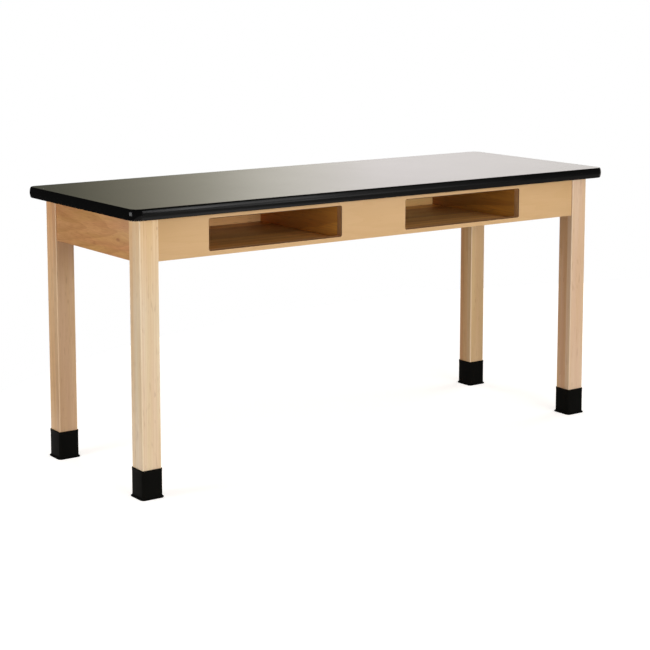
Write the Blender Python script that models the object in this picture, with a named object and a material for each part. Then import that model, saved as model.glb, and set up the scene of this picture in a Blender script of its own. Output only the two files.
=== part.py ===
"""A science lab table with two open book compartments, built from its separate pieces.

Metres, +Z up. The origin is on the floor under the middle of the worktop, +X runs along the table
to the right of a person who faces the open compartments, and +Y runs away from that person.
"""

import math

import bmesh
import bpy
from mathutils import Matrix, Vector

# Whole table
TABLE_LENGTH = 1.630
TABLE_DEPTH = 0.600
TABLE_HEIGHT = 0.762
FACE_GAP = 0.0003  # between two faces that touch
PAST_FACE = 0.005  # how far a cutter runs past the face that it opens

# Worktop: laminate sheet, particleboard core, backing sheet and a T-shaped edge band
TOP_THICKNESS = 0.030
TOP_CORNER_RADIUS = 0.028
LAMINATE_THICKNESS = 0.0012
BACKING_THICKNESS = 0.0008
BAND_THICKNESS = 0.005
BAND_EDGE_RADIUS = 0.004
BARB_DEPTH = 0.010
BARB_THICKNESS = 0.002

# Legs
LEG_SIDE = 0.055
LEG_EDGE_RADIUS = 0.003
LEG_INSET_ENDS = 0.040
LEG_INSET_FRONT = 0.040
LEG_FLAT_CUT = 0.012

# Boots that sleeve the feet of the legs
BOOT_HEIGHT = 0.078
BOOT_WALL = 0.0024
BOOT_SOLE = 0.004
BOOT_FIT = 0.0003
FOOT_FLARE = 0.004
FOOT_PLATE = 0.0035
FOOT_FILLET = 0.005
FOOT_CORNER_RADIUS = 0.007

# Aprons
APRON_HEIGHT = 0.114
APRON_THICKNESS = 0.019
APRON_SETBACK = 0.0032

# Book compartments behind two equal cut-outs in the front apron
OPENING_HEIGHT = 0.083
OPENING_RISE = 0.014
OPENING_CORNER_RADIUS = 0.002
FIRST_OPENING_START = 0.154
OPENING_SPACING = 0.224
LAST_OPENING_MARGIN = 0.215
COMPARTMENT_DEPTH = 0.381
BOARD_THICKNESS = 0.012
FLOOR_THICKNESS = 0.006
FLOOR_RECESS = 0.002
FLOOR_LEDGE = 0.006

# Cross rail between the two compartments
RAIL_THICKNESS = 0.019
RAIL_HEIGHT = 0.089
HOUSING_DEPTH = 0.006

# Pressed-steel corner braces, hooked into saw kerfs in the aprons
BRACE_THICKNESS = 0.002
BRACE_HEIGHT = 0.070
BRACE_REACH = 0.090
BRACE_FLANGE = 0.018
BRACE_HOOK = 0.006
KERF_CLEARANCE = 0.0006

# Hanger bolts and their flange nuts
BOLT_RADIUS = 0.004
BOLT_TIP_RADIUS = 0.002
BOLT_POINT = 0.008
BOLT_IN_LEG = 0.034
BOLT_PAST_NUT = 0.005
BOLT_CLEARANCE = 0.0004
NUT_ACROSS_FLATS = 0.013
NUT_HEIGHT = 0.0065
NUT_FLANGE_RADIUS = 0.0088
NUT_FLANGE_THICKNESS = 0.0015

# Wooden cleats that hold the worktop, and their pan-head wood screws
CLEAT_WIDTH = 0.022
CLEAT_HEIGHT = 0.025
SIDE_CLEAT_LENGTH = 0.300
CLEAT_END_MARGIN = 0.040
SCREW_RADIUS = 0.002
SCREW_TIP_RADIUS = 0.0005
SCREW_HEAD_RADIUS = 0.0045
SCREW_HEAD_HEIGHT = 0.0026
SCREW_CROWN_RADIUS = 0.003
SCREW_CROWN_HEIGHT = 0.0013
SCREW_IN_TOP = 0.016
SCREW_POINT = 0.005
SCREW_CLEARANCE = 0.0004
SCREW_END_MARGIN = 0.040

# Facets
CORNER_STEPS = 6
EDGE_STEPS = 4
LEG_STEPS = 3
ROUND_SIDES = 16
SCREW_SIDES = 12
HEX_SIDES = 6
SMOOTH_ANGLE = math.radians(40)

# Places worked out from the sizes above
UNDER_TOP = TABLE_HEIGHT - TOP_THICKNESS
APRON_BOTTOM = UNDER_TOP - APRON_HEIGHT
APRON_MIDDLE = UNDER_TOP - APRON_HEIGHT / 2
LEG_X = TABLE_LENGTH / 2 - LEG_INSET_ENDS - LEG_SIDE / 2
LEG_Y = TABLE_DEPTH / 2 - LEG_INSET_FRONT - LEG_SIDE / 2
LEG_INNER_X = LEG_X - LEG_SIDE / 2
LEG_INNER_Y = LEG_Y - LEG_SIDE / 2
APRON_OUTER_X = LEG_X + LEG_SIDE / 2 - APRON_SETBACK
APRON_OUTER_Y = LEG_Y + LEG_SIDE / 2 - APRON_SETBACK
APRON_INNER_X = APRON_OUTER_X - APRON_THICKNESS
APRON_INNER_Y = APRON_OUTER_Y - APRON_THICKNESS
FLOOR_TOP = APRON_BOTTOM + FLOOR_RECESS + FLOOR_THICKNESS
PLAIN_STRETCHES = FIRST_OPENING_START + OPENING_SPACING + LAST_OPENING_MARGIN
OPENING_WIDTH = (2 * LEG_INNER_X - PLAIN_STRETCHES) / 2
LEFT_OPENING_X = -LEG_INNER_X + FIRST_OPENING_START + OPENING_WIDTH / 2
RIGHT_OPENING_X = LEFT_OPENING_X + OPENING_WIDTH + OPENING_SPACING
RAIL_X = (LEFT_OPENING_X + RIGHT_OPENING_X) / 2
KERF_REACH = BRACE_REACH + BRACE_FLANGE
KERF_WIDTH = BRACE_THICKNESS + 2 * KERF_CLEARANCE
KERF_DEPTH = BRACE_HOOK + KERF_CLEARANCE

CORNERS = {
    "front_left": (-1, -1),
    "front_right": (1, -1),
    "back_right": (1, 1),
    "back_left": (-1, 1),
}


def clear_scene():
    """Remove every object that the file opened with."""
    for item in list(bpy.data.objects):
        bpy.data.objects.remove(item, do_unlink=True)


def make_material(name, hex_colour, roughness, metallic=0.0):
    """A Principled material from an sRGB hex colour."""
    channels = [int(hex_colour[i : i + 2], 16) / 255 for i in (1, 3, 5)]
    linear = [c / 12.92 if c <= 0.04045 else ((c + 0.055) / 1.055) ** 2.4 for c in channels]
    made = bpy.data.materials.new(name)
    made.use_nodes = True
    shader = made.node_tree.nodes["Principled BSDF"]
    shader.inputs["Base Color"].default_value = (*linear, 1.0)
    shader.inputs["Roughness"].default_value = roughness
    shader.inputs["Metallic"].default_value = metallic
    return made


def mesh_object(name, shape, material, location=(0.0, 0.0, 0.0), turn=0.0):
    """Turn a bmesh into a named object with outward faces, at a place and a turn about Z."""
    bmesh.ops.recalc_face_normals(shape, faces=shape.faces)
    mesh = bpy.data.meshes.new(name)
    shape.to_mesh(mesh)
    shape.free()
    mesh.materials.append(material)
    mesh.shade_smooth()
    mesh.set_sharp_from_angle(angle=SMOOTH_ANGLE)
    made = bpy.data.objects.new(name, mesh)
    made.location = location
    made.rotation_euler = (0.0, 0.0, turn)
    bpy.context.scene.collection.objects.link(made)
    return made


def copy_of(source, name, location, turn=0.0):
    """A second object on the same mesh, at its own place."""
    made = bpy.data.objects.new(name, source.data)
    made.location = location
    made.rotation_euler = (0.0, 0.0, turn)
    bpy.context.scene.collection.objects.link(made)
    return made


def carve(body, cutters):
    """Cut the cutters out of the body and keep the result as the body's own mesh."""
    for cutter in cutters:
        cutter.hide_render = True
        cutter.display_type = "WIRE"
        cut = body.modifiers.new("cut", "BOOLEAN")
        cut.operation = "DIFFERENCE"
        cut.solver = "EXACT"
        cut.object = cutter
    bpy.context.view_layer.update()
    graph = bpy.context.evaluated_depsgraph_get()
    carved = bpy.data.meshes.new_from_object(body.evaluated_get(graph))
    carved.name = body.name
    body.modifiers.clear()
    body.data = carved
    for cutter in cutters:
        bpy.data.objects.remove(cutter, do_unlink=True)
    return body


def rounded_rectangle(half_x, half_y, radius, steps):
    """Points of a rectangle with round corners about the origin, anticlockwise."""
    points = []
    for index, (side_x, side_y) in enumerate(((1, 1), (-1, 1), (-1, -1), (1, -1))):
        for step in range(steps + 1):
            angle = math.pi / 2 * (index + step / steps)
            points.append(
                (
                    side_x * (half_x - radius) + radius * math.cos(angle),
                    side_y * (half_y - radius) + radius * math.sin(angle),
                )
            )
    return points


def circle(radius, sides):
    """Points of a regular polygon on a circle about the origin, anticlockwise."""
    return [
        (radius * math.cos(2 * math.pi * i / sides), radius * math.sin(2 * math.pi * i / sides))
        for i in range(sides)
    ]


def loft(rings, joined_ends=False):
    """Skin a stack of rings given as (points, z), capped, or closed on itself like a tyre."""
    shape = bmesh.new()
    rows = [[shape.verts.new((x, y, z)) for x, y in points] for points, z in rings]
    count = len(rows[0])
    last = len(rows) if joined_ends else len(rows) - 1
    for index in range(last):
        low, high = rows[index], rows[(index + 1) % len(rows)]
        for i in range(count):
            j = (i + 1) % count
            shape.faces.new((low[i], low[j], high[j], high[i]))
    if not joined_ends:
        shape.faces.new(list(reversed(rows[0])))
        shape.faces.new(rows[-1])
    return shape


def prism(points, low, high):
    """An outline in plan, raised from one height to another."""
    return loft([(points, low), (points, high)])


def box(name, size, centre, material):
    """A board of the given size about its centre."""
    shape = bmesh.new()
    bmesh.ops.create_cube(shape, size=1.0)
    bmesh.ops.scale(shape, vec=size, verts=shape.verts)
    return mesh_object(name, shape, material, centre)


def turned(profile, sides):
    """A round solid about Z from (radius, z) pairs, bottom to top, with flat or pointed ends."""
    return loft([(circle(radius, sides), z) for radius, z in profile])


def lying(shape, toward):
    """Turn a shape's +Z onto a direction in plan."""
    direction = Vector((toward[0], toward[1], 0.0)).normalized()
    turn = direction.to_track_quat("Z", "Y").to_matrix()
    bmesh.ops.transform(shape, matrix=turn.to_4x4(), verts=shape.verts)
    return shape


def band_plan(outward):
    """The worktop's plan outline, moved outward from the core's edge by a distance."""
    inset = BAND_THICKNESS - outward
    return rounded_rectangle(
        TABLE_LENGTH / 2 - inset,
        TABLE_DEPTH / 2 - inset,
        TOP_CORNER_RADIUS - inset,
        CORNER_STEPS,
    )


def cleat_plans():
    """Each cleat's name, its span in plan (x from and to, y from and to) and its screw places."""
    plans = []
    front = -APRON_INNER_Y + FACE_GAP
    for side, centre in (("left", LEFT_OPENING_X), ("right", RIGHT_OPENING_X)):
        for hand, sign in (("left", -1), ("right", 1)):
            near = centre + sign * (OPENING_WIDTH / 2 + BOARD_THICKNESS + FACE_GAP)
            across = sorted((near, near + sign * CLEAT_WIDTH))
            along = (front, front + SIDE_CLEAT_LENGTH)
            spots = [
                (sum(across) / 2, front + SCREW_END_MARGIN),
                (sum(across) / 2, front + SIDE_CLEAT_LENGTH - SCREW_END_MARGIN),
            ]
            plans.append((f"{side}_compartment_{hand}", across, along, spots))
    end_x = APRON_INNER_X - FACE_GAP
    end_y = APRON_INNER_Y - KERF_REACH - CLEAT_END_MARGIN
    for side, sign in (("left", -1), ("right", 1)):
        across = sorted((sign * end_x, sign * (end_x - CLEAT_WIDTH)))
        plans.append((f"{side}_end", across, (-end_y, end_y), [(sum(across) / 2, 0.0)]))
    back_y = APRON_INNER_Y - FACE_GAP
    for side, sign in (("left", -1), ("right", 1)):
        rail_face = RAIL_X + sign * (RAIL_THICKNESS / 2 + CLEAT_END_MARGIN)
        far = sign * (APRON_INNER_X - KERF_REACH - CLEAT_END_MARGIN)
        across = sorted((rail_face, far))
        spot_y = back_y - CLEAT_WIDTH / 2
        spots = [(across[0] + SCREW_END_MARGIN, spot_y), (across[1] - SCREW_END_MARGIN, spot_y)]
        plans.append((f"back_{side}", across, (back_y - CLEAT_WIDTH, back_y), spots))
    return plans


def screw_bores(low, high, spots):
    """Round cutters for the worktop screws, between two heights."""
    outline = circle(SCREW_RADIUS + SCREW_CLEARANCE, SCREW_SIDES)
    return [mesh_object("bore", prism(outline, low, high), None, (x, y, 0.0)) for x, y in spots]


def build_worktop(materials):
    """Laminate, core, backing sheet and the band whose barb sits in the core's kerf."""
    core_low = UNDER_TOP + BACKING_THICKNESS + FACE_GAP
    core_high = TABLE_HEIGHT - LAMINATE_THICKNESS - FACE_GAP
    core_middle = (core_low + core_high) / 2
    kerf = BARB_THICKNESS / 2 + FACE_GAP
    kerf_bottom = band_plan(-BARB_DEPTH - FACE_GAP)
    core = mesh_object(
        "top_core",
        loft(
            [
                (band_plan(-FACE_GAP), core_low),
                (band_plan(-FACE_GAP), core_middle - kerf),
                (kerf_bottom, core_middle - kerf),
                (kerf_bottom, core_middle + kerf),
                (band_plan(-FACE_GAP), core_middle + kerf),
                (band_plan(-FACE_GAP), core_high),
            ]
        ),
        materials["particleboard"],
    )
    spots = [spot for *_, found in cleat_plans() for spot in found]
    bore_end = UNDER_TOP + SCREW_IN_TOP + SCREW_CLEARANCE
    carve(core, screw_bores(UNDER_TOP - PAST_FACE, bore_end, spots))
    mesh_object(
        "top_laminate_sheet",
        prism(band_plan(-FACE_GAP), TABLE_HEIGHT - LAMINATE_THICKNESS, TABLE_HEIGHT),
        materials["laminate"],
    )
    backing = mesh_object(
        "top_backing_sheet",
        prism(band_plan(-FACE_GAP), UNDER_TOP, UNDER_TOP + BACKING_THICKNESS),
        materials["backing"],
    )
    bore_end = UNDER_TOP + BACKING_THICKNESS + PAST_FACE
    carve(backing, screw_bores(UNDER_TOP - PAST_FACE, bore_end, spots))
    build_edge_band(core_middle, materials["vinyl"])


def build_edge_band(barb_height, material):
    """The band round the worktop: a rounded crown outside and a barb at the given height."""
    crown = []
    for step in range(EDGE_STEPS + 1):
        angle = math.pi / 2 * step / EDGE_STEPS
        crown.append(
            (
                BAND_THICKNESS - BAND_EDGE_RADIUS * (1 - math.sin(angle)),
                BAND_EDGE_RADIUS * (1 - math.cos(angle)),
            )
        )
    outline = [(0.0, UNDER_TOP)]
    outline += [(out, UNDER_TOP + rise) for out, rise in crown]
    outline += [(out, TABLE_HEIGHT - rise) for out, rise in reversed(crown)]
    outline += [
        (0.0, TABLE_HEIGHT),
        (0.0, barb_height + BARB_THICKNESS / 2),
        (-BARB_DEPTH, barb_height + BARB_THICKNESS / 2),
        (-BARB_DEPTH, barb_height - BARB_THICKNESS / 2),
        (0.0, barb_height - BARB_THICKNESS / 2),
    ]
    rings = [(band_plan(out), z) for out, z in outline]
    mesh_object("top_edge_band", loft(rings, joined_ends=True), material)


def corner_turn(signs):
    """The turn about Z that points a corner's local +X from the leg to the table's middle."""
    return math.atan2(-signs[1], -signs[0])


def build_legs(materials):
    """Four square legs, each with a flat on its inner edge and a bore for the hanger bolt."""
    half = LEG_SIDE / 2
    foot = BOOT_SOLE + FACE_GAP
    head = UNDER_TOP - FACE_GAP
    square = rounded_rectangle(half, half, LEG_EDGE_RADIUS, LEG_STEPS)
    flat = (LEG_SIDE - LEG_FLAT_CUT) / math.sqrt(2)
    master = None
    for name, signs in CORNERS.items():
        place = (signs[0] * LEG_X, signs[1] * LEG_Y, 0.0)
        turn = corner_turn(signs) - math.pi / 4
        if master:
            copy_of(master, f"leg_{name}", place, turn)
            continue
        master = mesh_object(f"leg_{name}", prism(square, foot, head), materials["maple"])
        notch = prism(rounded_rectangle(half, half, LEG_EDGE_RADIUS, 1), APRON_BOTTOM, UNDER_TOP)
        outward = Matrix.Rotation(math.pi / 4, 4, "Z") @ Matrix.Translation((flat + half, 0.0, 0.0))
        bmesh.ops.transform(notch, matrix=outward, verts=notch.verts)
        bore = prism(
            circle(BOLT_RADIUS + BOLT_CLEARANCE, ROUND_SIDES),
            flat - BOLT_IN_LEG - BOLT_CLEARANCE,
            flat + PAST_FACE,
        )
        bore_place = (0.0, 0.0, APRON_MIDDLE)
        cutters = [
            mesh_object("notch", notch, None),
            mesh_object("bore", lying(bore, (1, 1)), None, bore_place),
        ]
        carve(master, cutters)
        master.location = place
        master.rotation_euler = (0.0, 0.0, turn)


def build_boots(materials):
    """Four moulded boots with a closed sole and a flared foot."""
    inner = LEG_SIDE / 2 + BOOT_FIT
    outer = inner + BOOT_WALL
    inner_radius = LEG_EDGE_RADIUS + BOOT_FIT
    outer_radius = inner_radius + BOOT_WALL
    plate = outer + FOOT_FLARE
    rings = [
        (rounded_rectangle(plate, plate, FOOT_CORNER_RADIUS, LEG_STEPS), 0.0),
        (rounded_rectangle(plate, plate, FOOT_CORNER_RADIUS, LEG_STEPS), FOOT_PLATE),
    ]
    for step in range(1, EDGE_STEPS + 1):
        angle = math.pi / 2 * step / EDGE_STEPS
        out = FOOT_FLARE * (1 - math.sin(angle))
        rise = FOOT_FILLET * (1 - math.cos(angle))
        radius = outer_radius + (FOOT_CORNER_RADIUS - outer_radius) * out / FOOT_FLARE
        rings.append(
            (rounded_rectangle(outer + out, outer + out, radius, LEG_STEPS), FOOT_PLATE + rise)
        )
    rings += [
        (rounded_rectangle(outer, outer, outer_radius, LEG_STEPS), BOOT_HEIGHT),
        (rounded_rectangle(inner, inner, inner_radius, LEG_STEPS), BOOT_HEIGHT),
        (rounded_rectangle(inner, inner, inner_radius, LEG_STEPS), BOOT_SOLE),
    ]
    master = None
    for name, signs in CORNERS.items():
        place = (signs[0] * LEG_X, signs[1] * LEG_Y, 0.0)
        if master:
            copy_of(master, f"boot_{name}", place)
        else:
            master = mesh_object(f"boot_{name}", loft(rings), materials["rubber"], place)


def kerf_cutters(corner, inner_face, along_x):
    """Cutters for the two saw kerfs in an apron's inner face, measured from the apron corners."""
    cutters = []
    for sign in (-1, 1):
        centre = (sign * (corner - KERF_REACH), inner_face, 0.0)
        size = (KERF_WIDTH, 2 * KERF_DEPTH, APRON_HEIGHT + 2 * PAST_FACE)
        if not along_x:
            centre = (centre[1], centre[0], centre[2])
            size = (size[1], size[0], size[2])
        cutters.append(box("kerf", size, centre, None))
    return cutters


def opening_cutter(centre_x):
    """The cutter of one compartment's cut-out, in the front apron's own frame."""
    outline = rounded_rectangle(
        OPENING_WIDTH / 2, OPENING_HEIGHT / 2, OPENING_CORNER_RADIUS, LEG_STEPS
    )
    reach = APRON_THICKNESS / 2 + PAST_FACE
    shape = prism(outline, -reach, reach)
    bmesh.ops.transform(shape, matrix=Matrix.Rotation(math.pi / 2, 4, "X"), verts=shape.verts)
    height = OPENING_RISE + OPENING_HEIGHT / 2 - APRON_HEIGHT / 2
    return mesh_object("opening", shape, None, (centre_x, 0.0, height))


def housing_cutter(inner_face):
    """The cutter of the housing that takes an end of the cross rail, open at the apron's top."""
    low = APRON_HEIGHT / 2 - RAIL_HEIGHT - 2 * FACE_GAP
    high = APRON_HEIGHT / 2 + PAST_FACE
    size = (RAIL_THICKNESS + 2 * FACE_GAP, 2 * (HOUSING_DEPTH + FACE_GAP), high - low)
    return box("housing", size, (RAIL_X, inner_face, (low + high) / 2), None)


def build_aprons(materials):
    """Front and back aprons between the legs, and an apron at each end."""
    height = APRON_HEIGHT - FACE_GAP
    middle = APRON_BOTTOM + height / 2
    lift = APRON_MIDDLE - middle
    long_size = (2 * (LEG_INNER_X - FACE_GAP), APRON_THICKNESS, height)
    short_size = (APRON_THICKNESS, 2 * (LEG_INNER_Y - FACE_GAP), height)
    face = APRON_THICKNESS / 2
    for name, sign in (("front", -1), ("back", 1)):
        apron = box(f"{name}_apron", long_size, (0.0, 0.0, 0.0), materials["apron"])
        cutters = kerf_cutters(APRON_INNER_X, -sign * face, along_x=True)
        cutters.append(housing_cutter(-sign * face))
        if name == "front":
            cutters += [opening_cutter(LEFT_OPENING_X), opening_cutter(RIGHT_OPENING_X)]
        for cutter in cutters:
            cutter.location.z += lift
        carve(apron, cutters)
        apron.location = (0.0, sign * (APRON_OUTER_Y - face), middle)
    for name, sign in (("left", -1), ("right", 1)):
        apron = box(f"{name}_end_apron", short_size, (0.0, 0.0, 0.0), materials["maple"])
        carve(apron, kerf_cutters(APRON_INNER_Y, -sign * face, along_x=False))
        apron.location = (sign * (APRON_OUTER_X - face), 0.0, middle)


def strip_outline(path, thickness):
    """The outline of a bent strip in plan, from its middle line, with mitred bends."""
    sides = ([], [])
    points = [Vector(point) for point in path]
    for index, point in enumerate(points):
        before = points[index] - points[index - 1] if index else points[1] - points[0]
        after = points[index + 1] - point if index + 1 < len(points) else before
        normal_before = Vector((-before.y, before.x)).normalized()
        normal_after = Vector((-after.y, after.x)).normalized()
        mitre = (normal_before + normal_after).normalized()
        reach = thickness / 2 / mitre.dot(normal_before)
        sides[0].append(tuple(point + mitre * reach))
        sides[1].append(tuple(point - mitre * reach))
    return sides[0] + list(reversed(sides[1]))


def brace_path():
    """The brace's middle line in plan: hook, flange, web, flange, hook, about local +X."""
    along = Vector((math.cos(math.pi / 4), math.sin(math.pi / 4)))
    inward = Vector((along.y, -along.x))
    middle = inward * (FACE_GAP + BRACE_THICKNESS / 2)
    half = [
        along * KERF_REACH - inward * BRACE_HOOK,
        along * KERF_REACH + middle,
        along * BRACE_REACH + middle,
    ]
    return half + [Vector((point.x, -point.y)) for point in reversed(half)]


def brace_place(signs):
    """Where the inner faces of a corner's two aprons meet, at the aprons' middle height."""
    return (signs[0] * APRON_INNER_X, signs[1] * APRON_INNER_Y, APRON_MIDDLE)


def build_brace(name, path, web, material):
    """One corner brace about its corner's diagonal, bored for the hanger bolt."""
    outline = strip_outline(path, BRACE_THICKNESS)
    brace = mesh_object(name, prism(outline, -BRACE_HEIGHT / 2, BRACE_HEIGHT / 2), material)
    bore = circle(BOLT_RADIUS + BOLT_CLEARANCE, ROUND_SIDES)
    through = lying(prism(bore, web - PAST_FACE, web + PAST_FACE), (1, 0))
    return carve(brace, [mesh_object("bore", through, None)])


def build_bolt(name, low, high, material):
    """One hanger bolt along its corner's diagonal, pointed at the end in the leg."""
    profile = [
        (BOLT_TIP_RADIUS, low),
        (BOLT_RADIUS, low + BOLT_POINT),
        (BOLT_RADIUS, high),
    ]
    return mesh_object(name, lying(turned(profile, ROUND_SIDES), (1, 0)), material)


def build_nut(name, start, end, material):
    """One flange nut along its corner's diagonal."""
    flange_end = start + NUT_FLANGE_THICKNESS
    nut = mesh_object(name, prism(circle(NUT_FLANGE_RADIUS, ROUND_SIDES), start, flange_end), material)
    hexagon = circle(NUT_ACROSS_FLATS / math.sqrt(3), HEX_SIDES)
    body = mesh_object("hexagon", prism(hexagon, (start + flange_end) / 2, end), None)
    join = nut.modifiers.new("join", "BOOLEAN")
    join.operation = "UNION"
    join.solver = "EXACT"
    join.object = body
    bore = circle(BOLT_RADIUS + BOLT_CLEARANCE, ROUND_SIDES)
    carve(nut, [mesh_object("bore", prism(bore, start - PAST_FACE, end + PAST_FACE), None)])
    bpy.data.objects.remove(body, do_unlink=True)
    nut.data.transform(Vector((1.0, 0.0, 0.0)).to_track_quat("Z", "Y").to_matrix().to_4x4())
    return nut


def build_corner_hardware(materials):
    """A steel brace, a hanger bolt and a flange nut in each corner, on the corner's diagonal."""
    steel = materials["steel"]
    path = brace_path()
    web = path[2].x
    leg_middle = (APRON_INNER_X - LEG_X) * math.sqrt(2)
    leg_flat = leg_middle + (LEG_SIDE - LEG_FLAT_CUT) / math.sqrt(2)
    nut_start = web + BRACE_THICKNESS / 2 + FACE_GAP
    nut_end = nut_start + NUT_FLANGE_THICKNESS + NUT_HEIGHT
    masters = {}
    for name, signs in CORNERS.items():
        if not masters:
            bolt_span = (leg_flat - BOLT_IN_LEG, nut_end + BOLT_PAST_NUT)
            masters = {
                "corner_brace": build_brace(f"corner_brace_{name}", path, web, steel),
                "hanger_bolt": build_bolt(f"hanger_bolt_{name}", *bolt_span, steel),
                "flange_nut": build_nut(f"flange_nut_{name}", nut_start, nut_end, steel),
            }
            for item in masters.values():
                item.location = brace_place(signs)
                item.rotation_euler = (0.0, 0.0, corner_turn(signs))
            continue
        for kind, master in masters.items():
            copy_of(master, f"{kind}_{name}", brace_place(signs), corner_turn(signs))


def build_compartment(side, centre_x, materials):
    """One book box: two sides and a back that stand on a floor panel let in from below."""
    front = -APRON_INNER_Y + FACE_GAP
    depth = COMPARTMENT_DEPTH + BOARD_THICKNESS
    height = APRON_HEIGHT - FACE_GAP
    middle_y = front + depth / 2
    ledge_height = FLOOR_RECESS + FLOOR_THICKNESS + FACE_GAP
    board_size = (BOARD_THICKNESS, depth, height)
    ledge_size = (2 * FLOOR_LEDGE, depth + 2 * PAST_FACE, 2 * ledge_height)
    for hand, sign in (("left", -1), ("right", 1)):
        name = f"{side}_compartment_{hand}_side"
        board = box(name, board_size, (0.0, 0.0, 0.0), materials["plywood"])
        inner_foot = (-sign * BOARD_THICKNESS / 2, 0.0, -height / 2)
        carve(board, [box("ledge", ledge_size, inner_foot, None)])
        out = centre_x + sign * (OPENING_WIDTH + BOARD_THICKNESS) / 2
        board.location = (out, middle_y, APRON_BOTTOM + height / 2)
    back_low = FLOOR_TOP + FACE_GAP
    back_high = UNDER_TOP - FACE_GAP
    box(
        f"{side}_compartment_back",
        (OPENING_WIDTH - 2 * FACE_GAP, BOARD_THICKNESS, back_high - back_low),
        (centre_x, front + COMPARTMENT_DEPTH + BOARD_THICKNESS / 2, (back_low + back_high) / 2),
        materials["plywood"],
    )
    box(
        f"{side}_compartment_floor",
        (OPENING_WIDTH + 2 * (FLOOR_LEDGE - FACE_GAP), depth, FLOOR_THICKNESS),
        (centre_x, middle_y, FLOOR_TOP - FLOOR_THICKNESS / 2),
        materials["plywood"],
    )


def build_rail(materials):
    """The cross rail between the compartments, housed in the front and back aprons."""
    length = 2 * (APRON_INNER_Y + HOUSING_DEPTH)
    box(
        "centre_cross_rail",
        (RAIL_THICKNESS, length, RAIL_HEIGHT),
        (RAIL_X, 0.0, UNDER_TOP - FACE_GAP - RAIL_HEIGHT / 2),
        materials["maple"],
    )


def build_cleats(materials):
    """Cleats against the compartments and aprons, bored for the screws into the worktop."""
    top = UNDER_TOP - FACE_GAP
    for name, across, along, spots in cleat_plans():
        x, y = sum(across) / 2, sum(along) / 2
        size = (across[1] - across[0], along[1] - along[0], CLEAT_HEIGHT)
        cleat = box(f"{name}_cleat", size, (0.0, 0.0, 0.0), materials["maple"])
        local = [(spot_x - x, spot_y - y) for spot_x, spot_y in spots]
        reach = CLEAT_HEIGHT / 2 + PAST_FACE
        carve(cleat, screw_bores(-reach, reach, local))
        cleat.location = (x, y, top - CLEAT_HEIGHT / 2)


def build_screws(materials):
    """The pan-head wood screws that hold the worktop down."""
    start = UNDER_TOP - CLEAT_HEIGHT - 2 * FACE_GAP
    length = UNDER_TOP + SCREW_IN_TOP - start
    profile = [
        (SCREW_CROWN_RADIUS, -SCREW_HEAD_HEIGHT),
        (SCREW_HEAD_RADIUS, SCREW_CROWN_HEIGHT - SCREW_HEAD_HEIGHT),
        (SCREW_HEAD_RADIUS, 0.0),
        (SCREW_RADIUS, 0.0),
        (SCREW_RADIUS, length - SCREW_POINT),
        (SCREW_TIP_RADIUS, length),
    ]
    master = None
    for cleat, _, _, spots in cleat_plans():
        for number, (x, y) in enumerate(spots, start=1):
            name = f"{cleat}_screw_{number}"
            if master:
                copy_of(master, name, (x, y, start))
            else:
                shape = turned(profile, SCREW_SIDES)
                master = mesh_object(name, shape, materials["steel"], (x, y, start))


def main():
    """Build every piece in its place."""
    clear_scene()
    materials = {
        "laminate": make_material("black high-pressure laminate", "#2c2b27", 0.32),
        "backing": make_material("brown laminate backing", "#5a4634", 0.6),
        "particleboard": make_material("particleboard", "#b08d5f", 0.85),
        "vinyl": make_material("black vinyl edge band", "#15171a", 0.35),
        "maple": make_material("lacquered maple", "#d8b78e", 0.4),
        "apron": make_material("lacquered maple veneer", "#d3ab7b", 0.4),
        "plywood": make_material("stained plywood", "#6b4420", 0.5),
        "rubber": make_material("black moulded rubber", "#141413", 0.45),
        "steel": make_material("zinc-plated steel", "#b8bcc0", 0.35, metallic=1.0),
    }
    build_worktop(materials)
    build_legs(materials)
    build_boots(materials)
    build_aprons(materials)
    build_corner_hardware(materials)
    build_rail(materials)
    build_compartment("left", LEFT_OPENING_X, materials)
    build_compartment("right", RIGHT_OPENING_X, materials)
    build_cleats(materials)
    build_screws(materials)


main()
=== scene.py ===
"""A science lab table with two open book compartments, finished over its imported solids.

Metres, +Z up, in the frame of the solids: the floor is z = 0, +X runs along the table to the right
of a person who faces the compartments, and +Y runs away from that person.
"""

import logging
import math
from collections.abc import Callable, Sequence
from dataclasses import dataclass
from enum import Enum

import bmesh
import bpy
import numpy as np
from mathutils import Matrix, Vector


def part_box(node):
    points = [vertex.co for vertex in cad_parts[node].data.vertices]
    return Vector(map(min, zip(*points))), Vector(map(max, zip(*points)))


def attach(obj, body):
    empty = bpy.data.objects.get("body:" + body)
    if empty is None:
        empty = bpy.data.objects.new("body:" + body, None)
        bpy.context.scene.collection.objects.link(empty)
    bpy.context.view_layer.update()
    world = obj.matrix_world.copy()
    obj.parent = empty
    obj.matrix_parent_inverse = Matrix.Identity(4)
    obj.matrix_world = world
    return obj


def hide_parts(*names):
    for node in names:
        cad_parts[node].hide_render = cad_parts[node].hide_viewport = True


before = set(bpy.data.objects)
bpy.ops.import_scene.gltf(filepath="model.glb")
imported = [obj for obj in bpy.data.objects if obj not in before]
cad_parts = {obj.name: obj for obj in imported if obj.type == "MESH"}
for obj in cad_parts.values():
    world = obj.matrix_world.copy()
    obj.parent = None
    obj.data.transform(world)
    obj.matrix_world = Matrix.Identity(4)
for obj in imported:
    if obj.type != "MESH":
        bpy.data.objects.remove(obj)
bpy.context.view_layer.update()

Tree = bpy.types.NodeTree
Node = bpy.types.Node
Socket = bpy.types.NodeSocket
Piece = bpy.types.Object
Shape = bmesh.types.BMesh
Point = tuple[float, float]
Point3 = tuple[float, float, float]
Stop = tuple[float, str]
Ring = tuple[list[Point], float]
Value = float | Sequence[float] | Socket

LOG = logging.getLogger("lab table")
BODY = "root"
TOP_SHEET = "top_laminate_sheet"
MM = 0.001

# The angle in degrees above which an edge stays sharp, unless a piece has its own
SHARP_ANGLE = 30.0

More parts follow.
